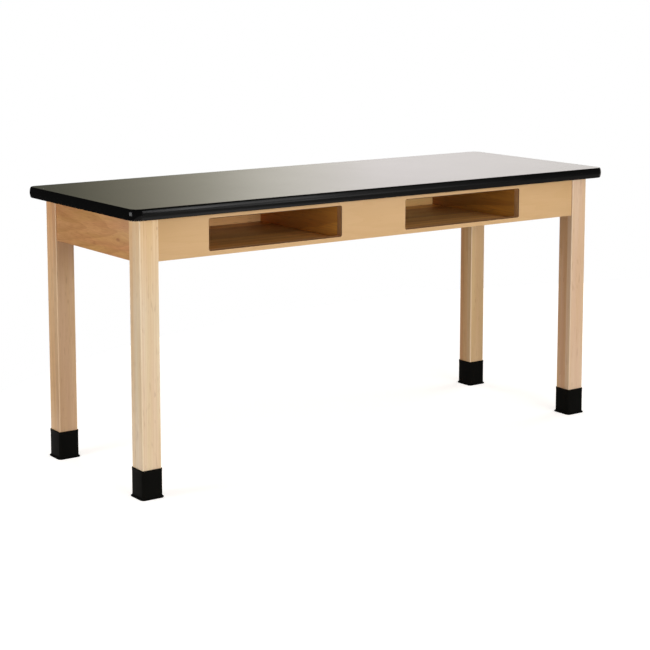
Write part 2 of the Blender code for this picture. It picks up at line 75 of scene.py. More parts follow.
# Node sockets that share their names, by number
MIX_A, MIX_B, MIX_OUT = 6, 7, 2

# A wave of scale 1 repeats each tenth of a turn
WAVE_SPAN = 2 * math.pi / 20

# The attribute that holds a board's own coordinates in metres: across, through and along its grain
GRAIN = "grain"

# The attribute that says how far across, through and along a board a point lies, from 0 to 1
SECTION = "section"

# The turn that lays a bar which stands about Z down along X
LIE_ALONG_X = Matrix.Rotation(math.pi / 2, 4, "Y")


class Slot(Enum):
    """The record's material slots."""

    BLACK_LAMINATE = "black_laminate"
    BROWN_BACKING = "brown_backing"
    PARTICLEBOARD = "particleboard"
    BLACK_VINYL = "black_vinyl"
    MAPLE = "maple"
    MAPLE_VENEER = "maple_veneer"
    PLYWOOD = "plywood"
    BLACK_RUBBER = "black_rubber"
    ZINC_STEEL = "zinc_steel"


class Along(Enum):
    """The direction that a board's grain runs in, as the order (across, through, along) of X, Y, Z."""

    X = (2, 1, 0)
    Y = (2, 0, 1)
    Z = (0, 1, 2)


class Corner(Enum):
    """The table's corners, with the sign of each one's place along X and Y."""

    FRONT_LEFT = (-1, -1)
    FRONT_RIGHT = (1, -1)
    BACK_RIGHT = (1, 1)
    BACK_LEFT = (-1, 1)

    @property
    def label(self) -> str:
        """The corner's part of a node's name."""
        return self.name.lower()


def linear(code: str) -> tuple[float, float, float, float]:
    """Turn an sRGB hex colour into linear light.

    Args:
        code: The colour as "#rrggbb".

    Returns:
        Linear red, green and blue, and an alpha of one.
    """
    # The numbers are those of the sRGB curve itself
    channels = [int(code[i : i + 2], 16) / 255 for i in (1, 3, 5)]
    light = [c / 12.92 if c <= 0.04045 else ((c + 0.055) / 1.055) ** 2.4 for c in channels]
    return (light[0], light[1], light[2], 1.0)


def feed(node: Node, sockets: dict) -> None:
    """Give a node's inputs their values, or link the outputs that feed them.

    Args:
        node: The node.
        sockets: For each input, by name or number, its value or the output that feeds it.
    """
    for key, value in sockets.items():
        if isinstance(value, Socket):
            node.id_data.links.new(value, node.inputs[key])
        else:
            node.inputs[key].default_value = value


def add_node(tree: Tree, kind: str, sockets: dict, **settings) -> Node:
    """Add one shader node with its settings and links.

    Args:
        tree: The node tree that gets the node.
        kind: The node's type, without the prefix that all shader nodes share.
        sockets: For each input, by name or number, its value or the output that feeds it.
        **settings: The node's own properties.

    Returns:
        The new node.
    """
    node = tree.nodes.new(f"ShaderNode{kind}")
    for name, value in settings.items():
        setattr(node, name, value)
    feed(node, sockets)
    return node


def tinted(tree: Tree, colour: Value, mask: Socket, share: float, tone: str) -> Socket:
    """Lay a tone over a colour where a mask says.

    Args:
        tree: The material's node tree.
        colour: The colour so far.
        mask: Where the tone goes.
        share: How much of it covers the colour where the mask is full.
        tone: The tone as a hex colour.

    Returns:
        The new colour.
    """
    amount = add_node(tree, "Math", {0: mask, 1: share}, operation="MULTIPLY").outputs[0]
    sockets = {"Factor": amount, MIX_A: colour, MIX_B: linear(tone)}
    return add_node(tree, "Mix", sockets, data_type="RGBA").outputs[MIX_OUT]


def ramped(tree: Tree, value: Socket, stops: Sequence[Stop], blend: str) -> Socket:
    """Look a value up in a row of colours.

    Args:
        tree: The node tree.
        value: The value.
        stops: The places and hex colours, in order.
        blend: How the ramp goes from one colour to the next, in Blender's word.

    Returns:
        The colour.
    """
    node = add_node(tree, "ValToRGB", {"Fac": value})
    ramp = node.color_ramp
    ramp.interpolation = blend
    while len(ramp.elements) < len(stops):
        ramp.elements.new(1.0)
    for element, (place, colour) in zip(ramp.elements, stops):
        element.position = place
        element.color = linear(colour)
    return node.outputs["Color"]


@dataclass(frozen=True)
class Finish:
    """A surface finish that becomes one Blender material on first use."""

    name: str

    def material(self) -> bpy.types.Material:
        """Give this finish's material, making it on first use.

        Returns:
            The Blender material.
        """
        found = bpy.data.materials.get(self.name)
        if found:
            return found
        made = bpy.data.materials.new(self.name)
        made.use_nodes = True
        self.paint(made.node_tree, made.node_tree.nodes["Principled BSDF"])
        return made

    def paint(self, tree: Tree, shader: Node) -> None:
        """Add the finish's nodes. Each finish has its own.

        Args:
            tree: The material's node tree.
            shader: Its Principled shader.
        """
        raise NotImplementedError


@dataclass(frozen=True)
class Streaks:
    """Noise that is stretched along the grain.

    Attributes:
        width: How wide a streak is across the grain, in metres.
        slowness: Its width as a share of its length.
        detail: How many finer layers it has.
        low: The noise level that becomes nothing.
        high: The noise level that becomes full.
    """

    width: float
    slowness: float
    detail: float
    low: float
    high: float

    def mask(self, tree: Tree, place: Socket) -> Socket:
        """Draw the streaks.

        Args:
            tree: The material's node tree.
            place: The coordinates to draw in.

        Returns:
            A mask from nothing to full.
        """
        stretch = (1.0, 1.0, self.slowness)
        long = add_node(tree, "VectorMath", {0: place, 1: stretch}, operation="MULTIPLY").outputs[0]
        sockets = {"Vector": long, "Scale": 1 / self.width, "Detail": self.detail}
        noise = add_node(tree, "TexNoise", sockets).outputs["Fac"]
        sockets = {"Value": noise, "From Min": self.low, "From Max": self.high}
        return add_node(tree, "MapRange", sockets).outputs["Result"]


@dataclass(frozen=True)
class Timber(Finish):
    """Lumber or veneer, planed, sanded and lacquered.

    Rings about the pith give fine lines on quarter faces and arches on flat ones. Slow patches of
    one or two more colours drift along the board, fibres streak it, and short flecks darken it. A
    leg is glued up from staves, and each stave tints the wood with its own tone. Along its arrises a
    paler tone is painted in as a highlight, and towards its top a darker, warmer tone is painted in
    as the shade under the aprons.
    """

    pale: str
    ring_line: str
    patch: str
    fleck: str
    second_patch: str = ""
    ring_width: float = 4.0 * MM  # real maple rings are 2 to 4 mm wide
    ring_share: float = 0.35
    ring_waver: float = 5.0
    patch_share: float = 0.5
    fibre_share: float = 0.3
    fleck_share: float = 0.25
    roughness: float = 0.42
    lacquer: float = 0.2
    knot: Point3 | None = None
    knot_size: float = 5.0 * MM
    staves: tuple[str, ...] = ()
    # The tone along the arrises paints a highlight, and the tone towards a leg's top paints the shade
    # under the aprons
    arris: str = ""
    warm_shade: str = ""

    # Real fibres are under 0.1 mm wide; they are drawn as 3 mm streaks so that they show
    fibres = Streaks(3.0 * MM, 0.012, 3.0, 0.3, 0.72)
    patches = Streaks(34.0 * MM, 0.05, 1.0, 0.38, 0.66)
    second_patches = Streaks(21.0 * MM, 0.04, 1.0, 0.42, 0.62)
    flecks = Streaks(3.0 * MM, 0.10, 0.0, 0.68, 0.80)

    # Fibres make the lacquer a little smoother or rougher, and stand up a little under it
    smoother, rougher = 0.04, 0.06
    relief, relief_depth = 0.15, 0.2 * MM
    lacquer_roughness = 0.3

    # Rings run far along the trunk and waver. Each line fades in over the first quarter
    ring_stretch = (1.0, 1.0, 0.045)
    waver_detail, waver_scale, waver_roughness = 2.0, 0.55, 0.55
    ring_start = 0.25

    # A knot is an oval with a dark heart, and the grain swirls wide round it
    knot_stretch, knot_heart, knot_share = (1.0, 0.0, 0.4), 0.3, 0.5
    swirl_stretch, swirl_reach, swirl_push = (1.0, 0.0, 0.45), 5, 0.8

    # A leg is 55 mm wide, and the painted highlight beside its arris about 4 mm
    arris_width, arris_share = 4.0 / 55, 0.7

    # The painted warm shade fades out over the top third of a leg, as a share of its length
    warm_shade_start = 0.68

    def paint(self, tree: Tree, shader: Node) -> None:
        """Add rings, patches, fibres, flecks and any knot, with their colours and bump.

        Args:
            tree: The material's node tree.
            shader: Its Principled shader.
        """
        grain = add_node(tree, "Attribute", {}, attribute_name=GRAIN).outputs["Vector"]
        place = self.swirl(tree, grain)
        rings = self.rings(tree, place)
        kinds = (self.patches, self.fibres, self.flecks)
        patch, fibre, fleck = (kind.mask(tree, place) for kind in kinds)
        colour = linear(self.pale)
        if self.second_patch:
            second = self.second_patches.mask(tree, place)
            colour = tinted(tree, colour, second, self.patch_share, self.second_patch)
        for mask, share, tone in (
            (patch, self.patch_share, self.patch),
            (rings, self.ring_share, self.ring_line),
            (fibre, self.fibre_share, self.ring_line),
            (fleck, self.fleck_share, self.fleck),
        ):
            colour = tinted(tree, colour, mask, share, tone)
        if self.knot:
            colour = self.knotted(tree, colour, grain)
        if self.staves:
            colour = self.glued(tree, colour)
        # Painted shade: darker and warmer towards the leg's top, where the aprons shade it
        if self.warm_shade:
            colour = self.shade_towards_top(tree, colour)
        # Painted highlight: a paler tone along each arris
        if self.arris:
            colour = tinted(tree, colour, self.wear_and_highlight(tree), self.arris_share, self.arris)
        low, high = self.roughness - self.smoother, self.roughness + self.rougher
        rough = add_node(tree, "MapRange", {"Value": fibre, "To Min": low, "To Max": high})
        sockets = {"Height": fibre, "Strength": self.relief, "Distance": self.relief_depth}
        bump = add_node(tree, "Bump", sockets)
        finish = {
            "Base Color": colour,
            "Roughness": rough.outputs["Result"],
            "Normal": bump.outputs["Normal"],
            "Coat Weight": self.lacquer,
            "Coat Roughness": self.lacquer_roughness,
        }
        feed(shader, finish)

    def from_knot(self, tree: Tree, grain: Socket, stretch: Point3) -> tuple[Socket, Socket]:
        """Measure how far a point lies from the knot.

        Args:
            tree: The material's node tree.
            grain: The board's own coordinates.
            stretch: What the way's parts across, through and along the grain count.

        Returns:
            The way from the knot, and its length.
        """
        away = add_node(tree, "VectorMath", {0: grain, 1: self.knot}, operation="SUBTRACT").outputs[0]
        way = add_node(tree, "VectorMath", {0: away, 1: stretch}, operation="MULTIPLY").outputs[0]
        return way, add_node(tree, "VectorMath", {0: way}, operation="LENGTH").outputs["Value"]

    def swirl(self, tree: Tree, grain: Socket) -> Socket:
        """Bend the grain round the knot, as wood grows round a branch.

        Args:
            tree: The material's node tree.
            grain: The board's own coordinates.

        Returns:
            The coordinates that the figure is drawn in.
        """
        if not self.knot:
            return grain
        way, gap = self.from_knot(tree, grain, self.swirl_stretch)
        reach = self.swirl_reach * self.knot_size
        sockets = {"Value": gap, "From Max": reach, "To Min": self.swirl_push, "To Max": 0.0}
        push = add_node(tree, "MapRange", sockets, interpolation_type="SMOOTHSTEP").outputs["Result"]
        bend = add_node(tree, "VectorMath", {0: way, "Scale": push}, operation="SCALE").outputs[0]
        return add_node(tree, "VectorMath", {0: grain, 1: bend}, operation="SUBTRACT").outputs[0]

    def rings(self, tree: Tree, place: Socket) -> Socket:
        """Draw the growth rings about the pith.

        Args:
            tree: The material's node tree.
            place: The coordinates to draw in.

        Returns:
            A mask that climbs from each ring's pale wood to its dark line.
        """
        trunk = add_node(tree, "VectorMath", {0: place, 1: self.ring_stretch}, operation="MULTIPLY")
        waver = {
            "Vector": trunk.outputs[0],
            "Scale": WAVE_SPAN / self.ring_width,
            "Distortion": self.ring_waver,
            "Detail": self.waver_detail,
            "Detail Scale": self.waver_scale,
            "Detail Roughness": self.waver_roughness,
        }
        kind = {"wave_type": "RINGS", "rings_direction": "Z", "wave_profile": "SAW"}
        wave = add_node(tree, "TexWave", waver, **kind)
        sockets = {"Value": wave.outputs["Fac"], "From Min": self.ring_start, "From Max": 1.0}
        return add_node(tree, "MapRange", sockets, interpolation_type="SMOOTHSTEP").outputs["Result"]

    def section(self, tree: Tree) -> Socket:
        """The shares across, through and along the board, as one vector."""
        return add_node(tree, "Attribute", {}, attribute_name=SECTION).outputs["Vector"]

    def glued(self, tree: Tree, colour: Value) -> Socket:
        """Tint each stave of a glued-up leg with its own tone.

        Args:
            tree: The material's node tree.
            colour: The colour so far.

        Returns:
            The tinted colour.
        """
        depth = add_node(tree, "SeparateXYZ", {"Vector": self.section(tree)}).outputs["Y"]
        stops = [(index / len(self.staves), tone) for index, tone in enumerate(self.staves)]
        sockets = {"Factor": 1.0, MIX_A: colour, MIX_B: ramped(tree, depth, stops, "CONSTANT")}
        mixed = add_node(tree, "Mix", sockets, data_type="RGBA", blend_type="MULTIPLY")
        return mixed.outputs[MIX_OUT]

    def shade_towards_top(self, tree: Tree, colour: Value) -> Socket:
        """Paint shade on a leg, darker and warmer more and more towards its top, as under the aprons.

        Args:
            tree: The material's node tree.
            colour: The colour so far.

        Returns:
            The tinted colour.
        """
        height = add_node(tree, "SeparateXYZ", {"Vector": self.section(tree)}).outputs["Z"]
        mask = add_node(tree, "MapRange", {"Value": height, "From Min": self.warm_shade_start})
        sockets = {"Factor": mask.outputs["Result"], MIX_A: colour, MIX_B: linear(self.warm_shade)}
        mixed = add_node(tree, "Mix", sockets, data_type="RGBA", blend_type="MULTIPLY")
        return mixed.outputs[MIX_OUT]

    def wear_and_highlight(self, tree: Tree) -> Socket:
        """Find the arrises, where a highlight is painted: they lie far from the middle both across and
        through the leg.

        Args:
            tree: The material's node tree.

        Returns:
            A mask that is full at the arrises.
        """
        middle = (0.5, 0.5, 0.0)
        sockets = {0: self.section(tree), 1: middle}
        away = add_node(tree, "VectorMath", sockets, operation="SUBTRACT").outputs[0]
        far = add_node(tree, "VectorMath", {0: away}, operation="ABSOLUTE").outputs[0]
        apart = add_node(tree, "SeparateXYZ", {"Vector": far}).outputs
        least = add_node(tree, "Math", {0: apart["X"], 1: apart["Y"]}, operation="MINIMUM").outputs[0]
        sockets = {"Value": least, "From Min": 0.5 - self.arris_width, "From Max": 0.5}
        return add_node(tree, "MapRange", sockets, interpolation_type="SMOOTHSTEP").outputs["Result"]

    def knotted(self, tree: Tree, colour: Value, grain: Socket) -> Socket:
        """Darken the wood at the knot.

        Args:
            tree: The material's node tree.
            colour: The colour so far.
            grain: The board's own coordinates.

        Returns:
            The colour with the knot in it.
        """
        _, gap = self.from_knot(tree, grain, self.knot_stretch)
        heart = self.knot_heart * self.knot_size
        sockets = {"Value": gap, "From Min": self.knot_size, "From Max": heart}
        mask = add_node(tree, "MapRange", sockets, interpolation_type="SMOOTHSTEP").outputs["Result"]
        return tinted(tree, colour, mask, self.knot_share, self.fleck)


@dataclass(frozen=True)
class PlyEdge(Finish):
    """The sawn edge of plywood: layers of long and of end grain show as light and dark stripes."""

    light: str
    dark: str
    ply: float = 2.4 * MM  # five layers in a 12 mm board
    waver: float = 0.6
    waver_scale: float = 0.2
    pore: float = 1.0 * MM
    pore_detail: float = 2.0
    glue_line: Point = (0.4, 0.6)
    roughness: float = 0.75

    def paint(self, tree: Tree, shader: Node) -> None:
        """Stripe the edge through the board's thickness.

        Args:
            tree: The material's node tree.
            shader: Its Principled shader.
        """
        grain = add_node(tree, "Attribute", {}, attribute_name=GRAIN).outputs["Vector"]
        sockets = {
            "Vector": grain,
            "Scale": WAVE_SPAN / (2 * self.ply),
            "Distortion": self.waver,
            "Detail Scale": self.waver_scale,
        }
        wave = add_node(tree, "TexWave", sockets, bands_direction="Y").outputs["Fac"]
        low, high = self.glue_line
        stripe = add_node(tree, "MapRange", {"Value": wave, "From Min": low, "From Max": high})
        sockets = {"Vector": grain, "Scale": 1 / self.pore, "Detail": self.pore_detail}
        pores = add_node(tree, "TexNoise", sockets).outputs["Fac"]
        sockets = {0: stripe.outputs["Result"], 1: pores}
        share = add_node(tree, "Math", sockets, operation="MULTIPLY").outputs[0]
        striped = tinted(tree, linear(self.light), share, 1.0, self.dark)
        feed(shader, {"Base Color": striped, "Roughness": self.roughness})


@dataclass(frozen=True)
class Moulded(Finish):
    """A plastic, rubber or laminate with one colour, a fine skin texture and a slow sheen change.

    The skin breaks the highlight up a little, and the sheen drifts as handled surfaces do.
    """

    shade: str
    wear_and_highlight: str
    roughness: float
    skin: float
    relief: float
    specular: float = 0.5
    sheen_patch: float = 90.0 * MM
    sheen_drift: float = 0.03
    sheen_span: Point = (0.3, 0.7)
    sheen_detail: float = 3.0
    skin_detail: float = 2.0
    skin_depth: float = 0.1 * MM

    def paint(self, tree: Tree, shader: Node) -> None:
        """Add the colour, the skin's bump and the drift of the sheen.

        Args:
            tree: The material's node tree.
            shader: Its Principled shader.
        """
        place = add_node(tree, "TexCoord", {}).outputs["Object"]
        sockets = {"Vector": place, "Scale": 1 / self.sheen_patch, "Detail": self.sheen_detail}
        drift = add_node(tree, "TexNoise", sockets).outputs["Fac"]
        sockets = {"Vector": place, "Scale": 1 / self.skin, "Detail": self.skin_detail}
        skin = add_node(tree, "TexNoise", sockets).outputs["Fac"]
        low, high = self.sheen_span
        sockets = {
            "Value": drift,
            "From Min": low,
            "From Max": high,
            "To Min": self.roughness - self.sheen_drift,
            "To Max": self.roughness + self.sheen_drift,
        }
        rough = add_node(tree, "MapRange", sockets)
        sockets = {"Height": skin, "Strength": self.relief, "Distance": self.skin_depth}
        bump = add_node(tree, "Bump", sockets)
        finish = {
            "Base Color": tinted(tree, linear(self.shade), drift, 1.0, self.wear_and_highlight),
            "Roughness": rough.outputs["Result"],
            "Normal": bump.outputs["Normal"],
            "Specular IOR Level": self.specular,
        }
        feed(shader, finish)


@dataclass(frozen=True)
class Chipboard(Finish):
    """Particleboard: glued chips of several tans show as small flat cells."""

    light: str
    dark: str
    chip: float = 3.0 * MM
    roughness: float = 0.85

    def paint(self, tree: Tree, shader: Node) -> None:
        """Give each chip its own tan.

        Args:
            tree: The material's node tree.
            shader: Its Principled shader.
        """
        place = add_node(tree, "TexCoord", {}).outputs["Object"]
        chips = add_node(tree, "TexVoronoi", {"Vector": place, "Scale": 1 / self.chip}).outputs["Color"]
        sockets = {"Factor": chips, MIX_A: linear(self.light), MIX_B: linear(self.dark)}
        mixed = add_node(tree, "Mix", sockets, data_type="RGBA").outputs[MIX_OUT]
        feed(shader, {"Base Color": mixed, "Roughness": self.roughness})


@dataclass(frozen=True)
class ZincPlate(Finish):
    """Bright zinc plate on pressed or rolled steel: a soft metal shine with a faint cloudy spangle."""

    shade: str
    dull: str
    spangle: float = 6.0 * MM
    spangle_detail: float = 4.0
    spangle_roughness: float = 0.65
    roughness: Point = (0.25, 0.5)

    def paint(self, tree: Tree, shader: Node) -> None:
        """Cloud the plate's colour and roughness.

        Args:
            tree: The material's node tree.
            shader: Its Principled shader.
        """
        sockets = {
            "Vector": add_node(tree, "TexCoord", {}).outputs["Object"],
            "Scale": 1 / self.spangle,
            "Detail": self.spangle_detail,
            "Roughness": self.spangle_roughness,
        }
        cloud = add_node(tree, "TexNoise", sockets).outputs["Fac"]
        low, high = self.roughness
        rough = add_node(tree, "MapRange", {"Value": cloud, "To Min": low, "To Max": high})
        finish = {
            "Base Color": tinted(tree, linear(self.shade), cloud, 1.0, self.dull),
            "Roughness": rough.outputs["Result"],
            "Metallic": 1.0,
        }
        feed(shader, finish)


# Hard maple, sawn into staves, glued, planed, sanded and clear lacquered: pale cream wood with soft
# pink and yellow streaks, fine growth lines and a satin shine. Each leg is its own piece of wood
# Each wood's tones are its pale wood, its ring line, its patch, its fleck and its second patch
# Each leg's arris tone paints a highlight along its arrises, and the front left and back left legs also
# have a tone that paints the shade under the aprons towards their tops
LEG_MAPLE = {
    Corner.FRONT_LEFT: Timber(
        "lacquered maple, front left leg",
        *("#ecdcc4", "#d4b48f", "#dcb99a", "#a57a55", "#e0cea2"),
        knot=(-0.023, 0.0, 0.336),
        knot_size=2.5 * MM,
        staves=("#fffcf6", "#ffffff", "#fffaf0"),
        arris="#f6e3c4",
        warm_shade="#fff0d8",
    ),
    Corner.FRONT_RIGHT: Timber(
        "lacquered maple, front right leg",
        *("#dfc9b2", "#c8a485", "#d6b59a", "#9d6c4c", "#d8bf94"),
        staves=("#fff8f0", "#f4dcc4", "#f8e4cd"),
        arris="#ecd6bc",
    ),
    Corner.BACK_RIGHT: Timber(
        "lacquered maple, back right leg",
        *("#d4ba93", "#ba946d", "#c9a57f", "#8c6344", "#ccb27e"),
        staves=("#fffaf2", "#fff0dc", "#fae0c8"),
        arris="#fbe6ca",
    ),
    Corner.BACK_LEFT: Timber(
        "lacquered maple, back left leg",
        *("#e5ccaa", "#c49f7c", "#d1ae90", "#8c5f42", "#d7b98a"),
        staves=("#efe3d8", "#fbeede", "#fff0de"),
        arris="#e6caa4",
        warm_shade="#ffede2",
    ),
}

# Flat-sawn maple board that has aged warmer under its lacquer: wavy orange tan arches and one pin knot
END_MAPLE = Timber(
    "lacquered flat-sawn maple board",
    *("#cf9b67", "#a56e3e", "#c08152", "#8a4a2c", "#c59c57"),
    ring_width=13.0 * MM,
    ring_share=0.36,
    ring_waver=11.0,
    fibre_share=0.45,
    knot=(-0.0237, 0.0, -0.1425),
    knot_size=6.5 * MM,
)

# Maple veneer, sliced thin and pressed on a board, then lacquered: an even tan with hardly any figure
APRON_VENEER = Timber(
    "lacquered maple veneer",
    *("#d4ae7e", "#c9a26e", "#cea776", "#b98d5c"),
    ring_share=0.25,
    patch_share=0.3,
    fibre_share=0.2,
    fleck_share=0.1,
)

# Sealed or planed wood without a full lacquer: drier and duller than the legs
BARE = {"roughness": 0.6, "lacquer": 0.05}

# Maple rails and cleats under the top, planed but barely finished
RAIL_MAPLE = Timber("planed maple rail", "#d9be98", "#c09c70", "#cba77f", "#92694a", **BARE)


def birch_ply(name: str, pale: str, ring_line: str, patch: str, figure: float = 0.6) -> Timber:
    """Birch plywood, stained or sealed. Rotary cutting gives its face veneer a broad wavy figure.

    Args:
        name: The finish's name.
        pale: Its lightest tone.
        ring_line: The tone of its figure.
        patch: The tone of its slow drift.
        figure: How strongly the figure shows.

    Returns:
        The finish.
    """
    wide = {"ring_width": 15.0 * MM, "ring_share": figure, "fibre_share": figure}
    return Timber(name, pale, ring_line, patch, "#74431f", **wide, roughness=0.5, lacquer=0.1)


# The compartments' plywood: honey stained floors of an orange brown, stained sides, and backs under
# a clear sealer. Their tones are brighter than the wood, as painted light inside the compartments,
# and the left and right sheets differ partly in stain and partly in painted light and shade
FLOOR_PLY = {
    "left": birch_ply("honey stained birch plywood, left", "#ecb268", "#ab7236", "#cd9150"),
    "right": birch_ply("honey stained birch plywood, right", "#fcc77c", "#bd8144", "#e0a45e"),
}
SIDE_PLY = {
    "left": birch_ply("stained birch plywood side, left", "#fcba58", "#c6833a", "#e49c44"),
    "right": birch_ply("stained birch plywood side, right", "#d4963e", "#9c6428", "#b87b32"),
}
BACK_PLY = {
    "left": birch_ply("clear sealed birch plywood, left", "#ffcf90", "#d8a066", "#ecb274", 0.3),
    "right": birch_ply("clear sealed birch plywood, right", "#ffdc98", "#e8b470", "#f8c880", 0.3),
}

# The cut-outs' sawn inner faces, sealed over the saw marks: paler than the stained compartments
SAWN_JAMB = Timber("sealed sawn cut-out face", "#e2b580", "#be8a5e", "#cf9d6d", "#7d4e2c", **BARE)

# The cut-outs' eased arris, darker than the wood: a thin dark line round each mouth
DARK_RIM_TONES = ("#6a4122", "#4c2a12", "#5a3519", "#2f1708")
DARK_ARRIS = Timber("dark cut-out arris", *DARK_RIM_TONES, roughness=0.5, lacquer=0.1)

PLY_EDGE = PlyEdge("sawn plywood edge", light="#a87a4a", dark="#5f3a1c")

# High-pressure laminate, pressed against a fine matt sheet: near black, with a low even sheen
BLACK_LAMINATE = Moulded(
    "black high-pressure laminate",
    shade="#1b1a18",
    wear_and_highlight="#201f1d",
    roughness=0.2,
    skin=1.6 * MM,
    relief=0.04,
    sheen_patch=220.0 * MM,
    sheen_drift=0.006,
)

# Phenolic backing sheet: plain brown resin paper, matt
BROWN_BACKING = Moulded(
    "brown phenolic backing", shade="#54402f", wear_and_highlight="#614b38", roughness=0.6, skin=1.2 * MM, relief=0.2
)

# Vinyl edge band, extruded: smooth, black and satin, with a soft streak of light on its round
BLACK_VINYL = Moulded(
    "black extruded vinyl",
    shade="#0a0a0a",
    wear_and_highlight="#0e0e0e",
    roughness=0.14,
    skin=2.0 * MM,
    relief=0.04,
    specular=0.12,
)

# Rubber boots, moulded: deep black with a fine matt skin
BLACK_RUBBER = Moulded(
    "black moulded rubber",
    shade="#0d0d0c",
    wear_and_highlight="#11110f",
    roughness=0.35,
    skin=1.0 * MM,
    relief=0.2,
    specular=0.015,
)

PARTICLEBOARD = Chipboard("sanded particleboard", light="#c9a878", dark="#8f6c42")
ZINC_STEEL = ZincPlate("bright zinc-plated steel", shade="#c3c7ca", dull="#9da1a4")


def rounded_outline(half_x: float, half_y: float, radius: float, steps: int) -> list[Point]:
    """Outline a rectangle with round corners about the origin, anticlockwise.

    Args:
        half_x: Half its length along X.
        half_y: Half its length along Y.
        radius: Its corner radius.
        steps: The number of facets in each corner.

    Returns:
        The outline's points.
    """
    points = []
    for index, (side_x, side_y) in enumerate(((1, 1), (-1, 1), (-1, -1), (1, -1))):
        for step in range(steps + 1):
            angle = math.pi / 2 * (index + step / steps)
            points.append(
                (
                    side_x * (half_x - radius) + radius * math.cos(angle),
                    side_y * (half_y - radius) + radius * math.sin(angle),
                )
            )
    return points


def polar_outline(sides: int, reach: Callable[[float], float]) -> list[Point]:
    """Outline a shape about the origin from its radius at each angle, anticlockwise.

    Args:
        sides: The number of points.
        reach: Gives the radius at an angle.

    Returns:
        The outline's points.
    """
    angles = [2 * math.pi * i / sides for i in range(sides)]
    return [(reach(angle) * math.cos(angle), reach(angle) * math.sin(angle)) for angle in angles]


def skinned(rings: Sequence[Ring], closed: bool = False) -> Shape:
    """Skin a stack of outlines, with flat ends or closed on itself like a tyre.

    Args:
        rings: Outlines of equally many points, each with its height.
        closed: Whether the last outline joins the first.

    Returns:
        The closed shape.
    """
    shape = bmesh.new()
    rows = [[shape.verts.new((x, y, z)) for x, y in points] for points, z in rings]
    count = len(rows[0])
    for index in range(len(rows) if closed else len(rows) - 1):
        low, high = rows[index], rows[(index + 1) % len(rows)]
        for i in range(count):
            j = (i + 1) % count
            shape.faces.new((low[i], low[j], high[j], high[i]))
    if not closed:
        shape.faces.new(list(reversed(rows[0])))
        shape.faces.new(rows[-1])
    return shape


def cylinder(radius: float, low: float, high: float, sides: int = 24) -> Shape:
    """Make a round bar about Z.

    Args:
        radius: Its radius.
        low: Its lower end.
        high: Its upper end.
        sides: The number of its facets.

    Returns:
        The closed shape.
    """
    outline = polar_outline(sides, lambda _: radius)
    return skinned([(outline, low), (outline, high)])


def moved(shape: Shape, matrix: Matrix) -> Shape:
    """Move a shape by a matrix and return it."""
    bmesh.ops.transform(shape, matrix=matrix, verts=shape.verts)
    return shape


def board(low: Vector, high: Vector, ease: float = 0.8 * MM) -> Shape:
    """Make a board with lightly rounded arrises.

    Args:
        low: Its lowest corner.
        high: Its highest corner.
        ease: The radius of its arrises.

    Returns:
        The closed shape.
    """
    shape = bmesh.new()
    bmesh.ops.create_cube(shape, size=1.0)
    bmesh.ops.scale(shape, vec=high - low, verts=shape.verts)
    bmesh.ops.translate(shape, vec=(low + high) / 2, verts=shape.verts)
    if ease:
        bmesh.ops.bevel(
            shape, geom=shape.edges[:], offset=ease, segments=2, profile=0.5, affect="EDGES"
        )
    return shape


@dataclass(frozen=True)
class Grain:
    """How a board lies in its tree.

    Attributes:
        along: The direction of the grain.
        pith: The pith's place from the board's middle, across and through the board.
        lean: How far the pith leans across and through, for each metre along.
        start: Where along the tree the board begins, which picks its own stretch of figure.
    """

    along: Along
    pith: Point = (0.02, 0.09)
    lean: Point = (0.0, 0.02)
    start: float = 0.0

    def paint(self, mesh: bpy.types.Mesh) -> None:
        """Store the board's own coordinates and its section on its mesh.

        Args:
            mesh: The board's finished mesh, in the table's frame.
        """
        places = np.zeros(len(mesh.vertices) * 3, np.float32)
        mesh.vertices.foreach_get("co", places)
        places = places.reshape(-1, 3)
        middle = (places.min(0) + places.max(0)) / 2
        across, through, along = ((places - middle)[:, axis] for axis in self.along.value)
        own = np.stack(
            (
                across - self.pith[0] + self.lean[0] * along,
                through - self.pith[1] + self.lean[1] * along,
                along + self.start,
            ),
            axis=1,
        )
        parts = (across, through, along)
        section = np.stack([(part - part.min()) / max(np.ptp(part), MM) for part in parts], axis=1)
        for name, vectors in ((GRAIN, own), (SECTION, section)):
            stored = mesh.attributes.new(name, "FLOAT_VECTOR", "POINT")
            stored.data.foreach_set("vector", vectors.astype(np.float32).ravel())


def make_object(name: str, shape: Shape, finish: Finish | None, smooth: float = SHARP_ANGLE) -> Piece:
    """Turn a shape into an object with outward faces.

    Args:
        name: The object's name.
        shape: Its shape, which is used up.
        finish: Its finish, or none for a cutter.
        smooth: The angle in degrees above which an edge stays sharp.

    Returns:
        The new object.
    """
    bmesh.ops.recalc_face_normals(shape, faces=shape.faces)
    mesh = bpy.data.meshes.new(name)
    shape.to_mesh(mesh)
    shape.free()
    if finish:
        mesh.materials.append(finish.material())
    mesh.shade_smooth()
    mesh.set_sharp_from_angle(angle=math.radians(smooth))
    made = bpy.data.objects.new(name, mesh)
    bpy.context.scene.collection.objects.link(made)
    return made


def carved(body: Piece, cutters: Sequence[Piece]) -> Piece:
    """Cut shapes out of a body. Each cut face takes its cutter's material.

    Args:
        body: The object that is cut.
        cutters: The objects to cut away, which are used up.

    Returns:
        The body, with the result as its own mesh.
    """
    for cutter in cutters:
        cut = body.modifiers.new("cut", "BOOLEAN")
        cut.operation = "DIFFERENCE"
        cut.solver = "EXACT"
        cut.material_mode = "TRANSFER"
        cut.object = cutter
    bpy.context.view_layer.update()
    graph = bpy.context.evaluated_depsgraph_get()
    result = bpy.data.meshes.new_from_object(body.evaluated_get(graph))
    result.name = body.name
    body.modifiers.clear()
    body.data = result
    for cutter in cutters:
        bpy.data.objects.remove(cutter, do_unlink=True)
    result.set_sharp_from_angle(angle=math.radians(SHARP_ANGLE))
    return body


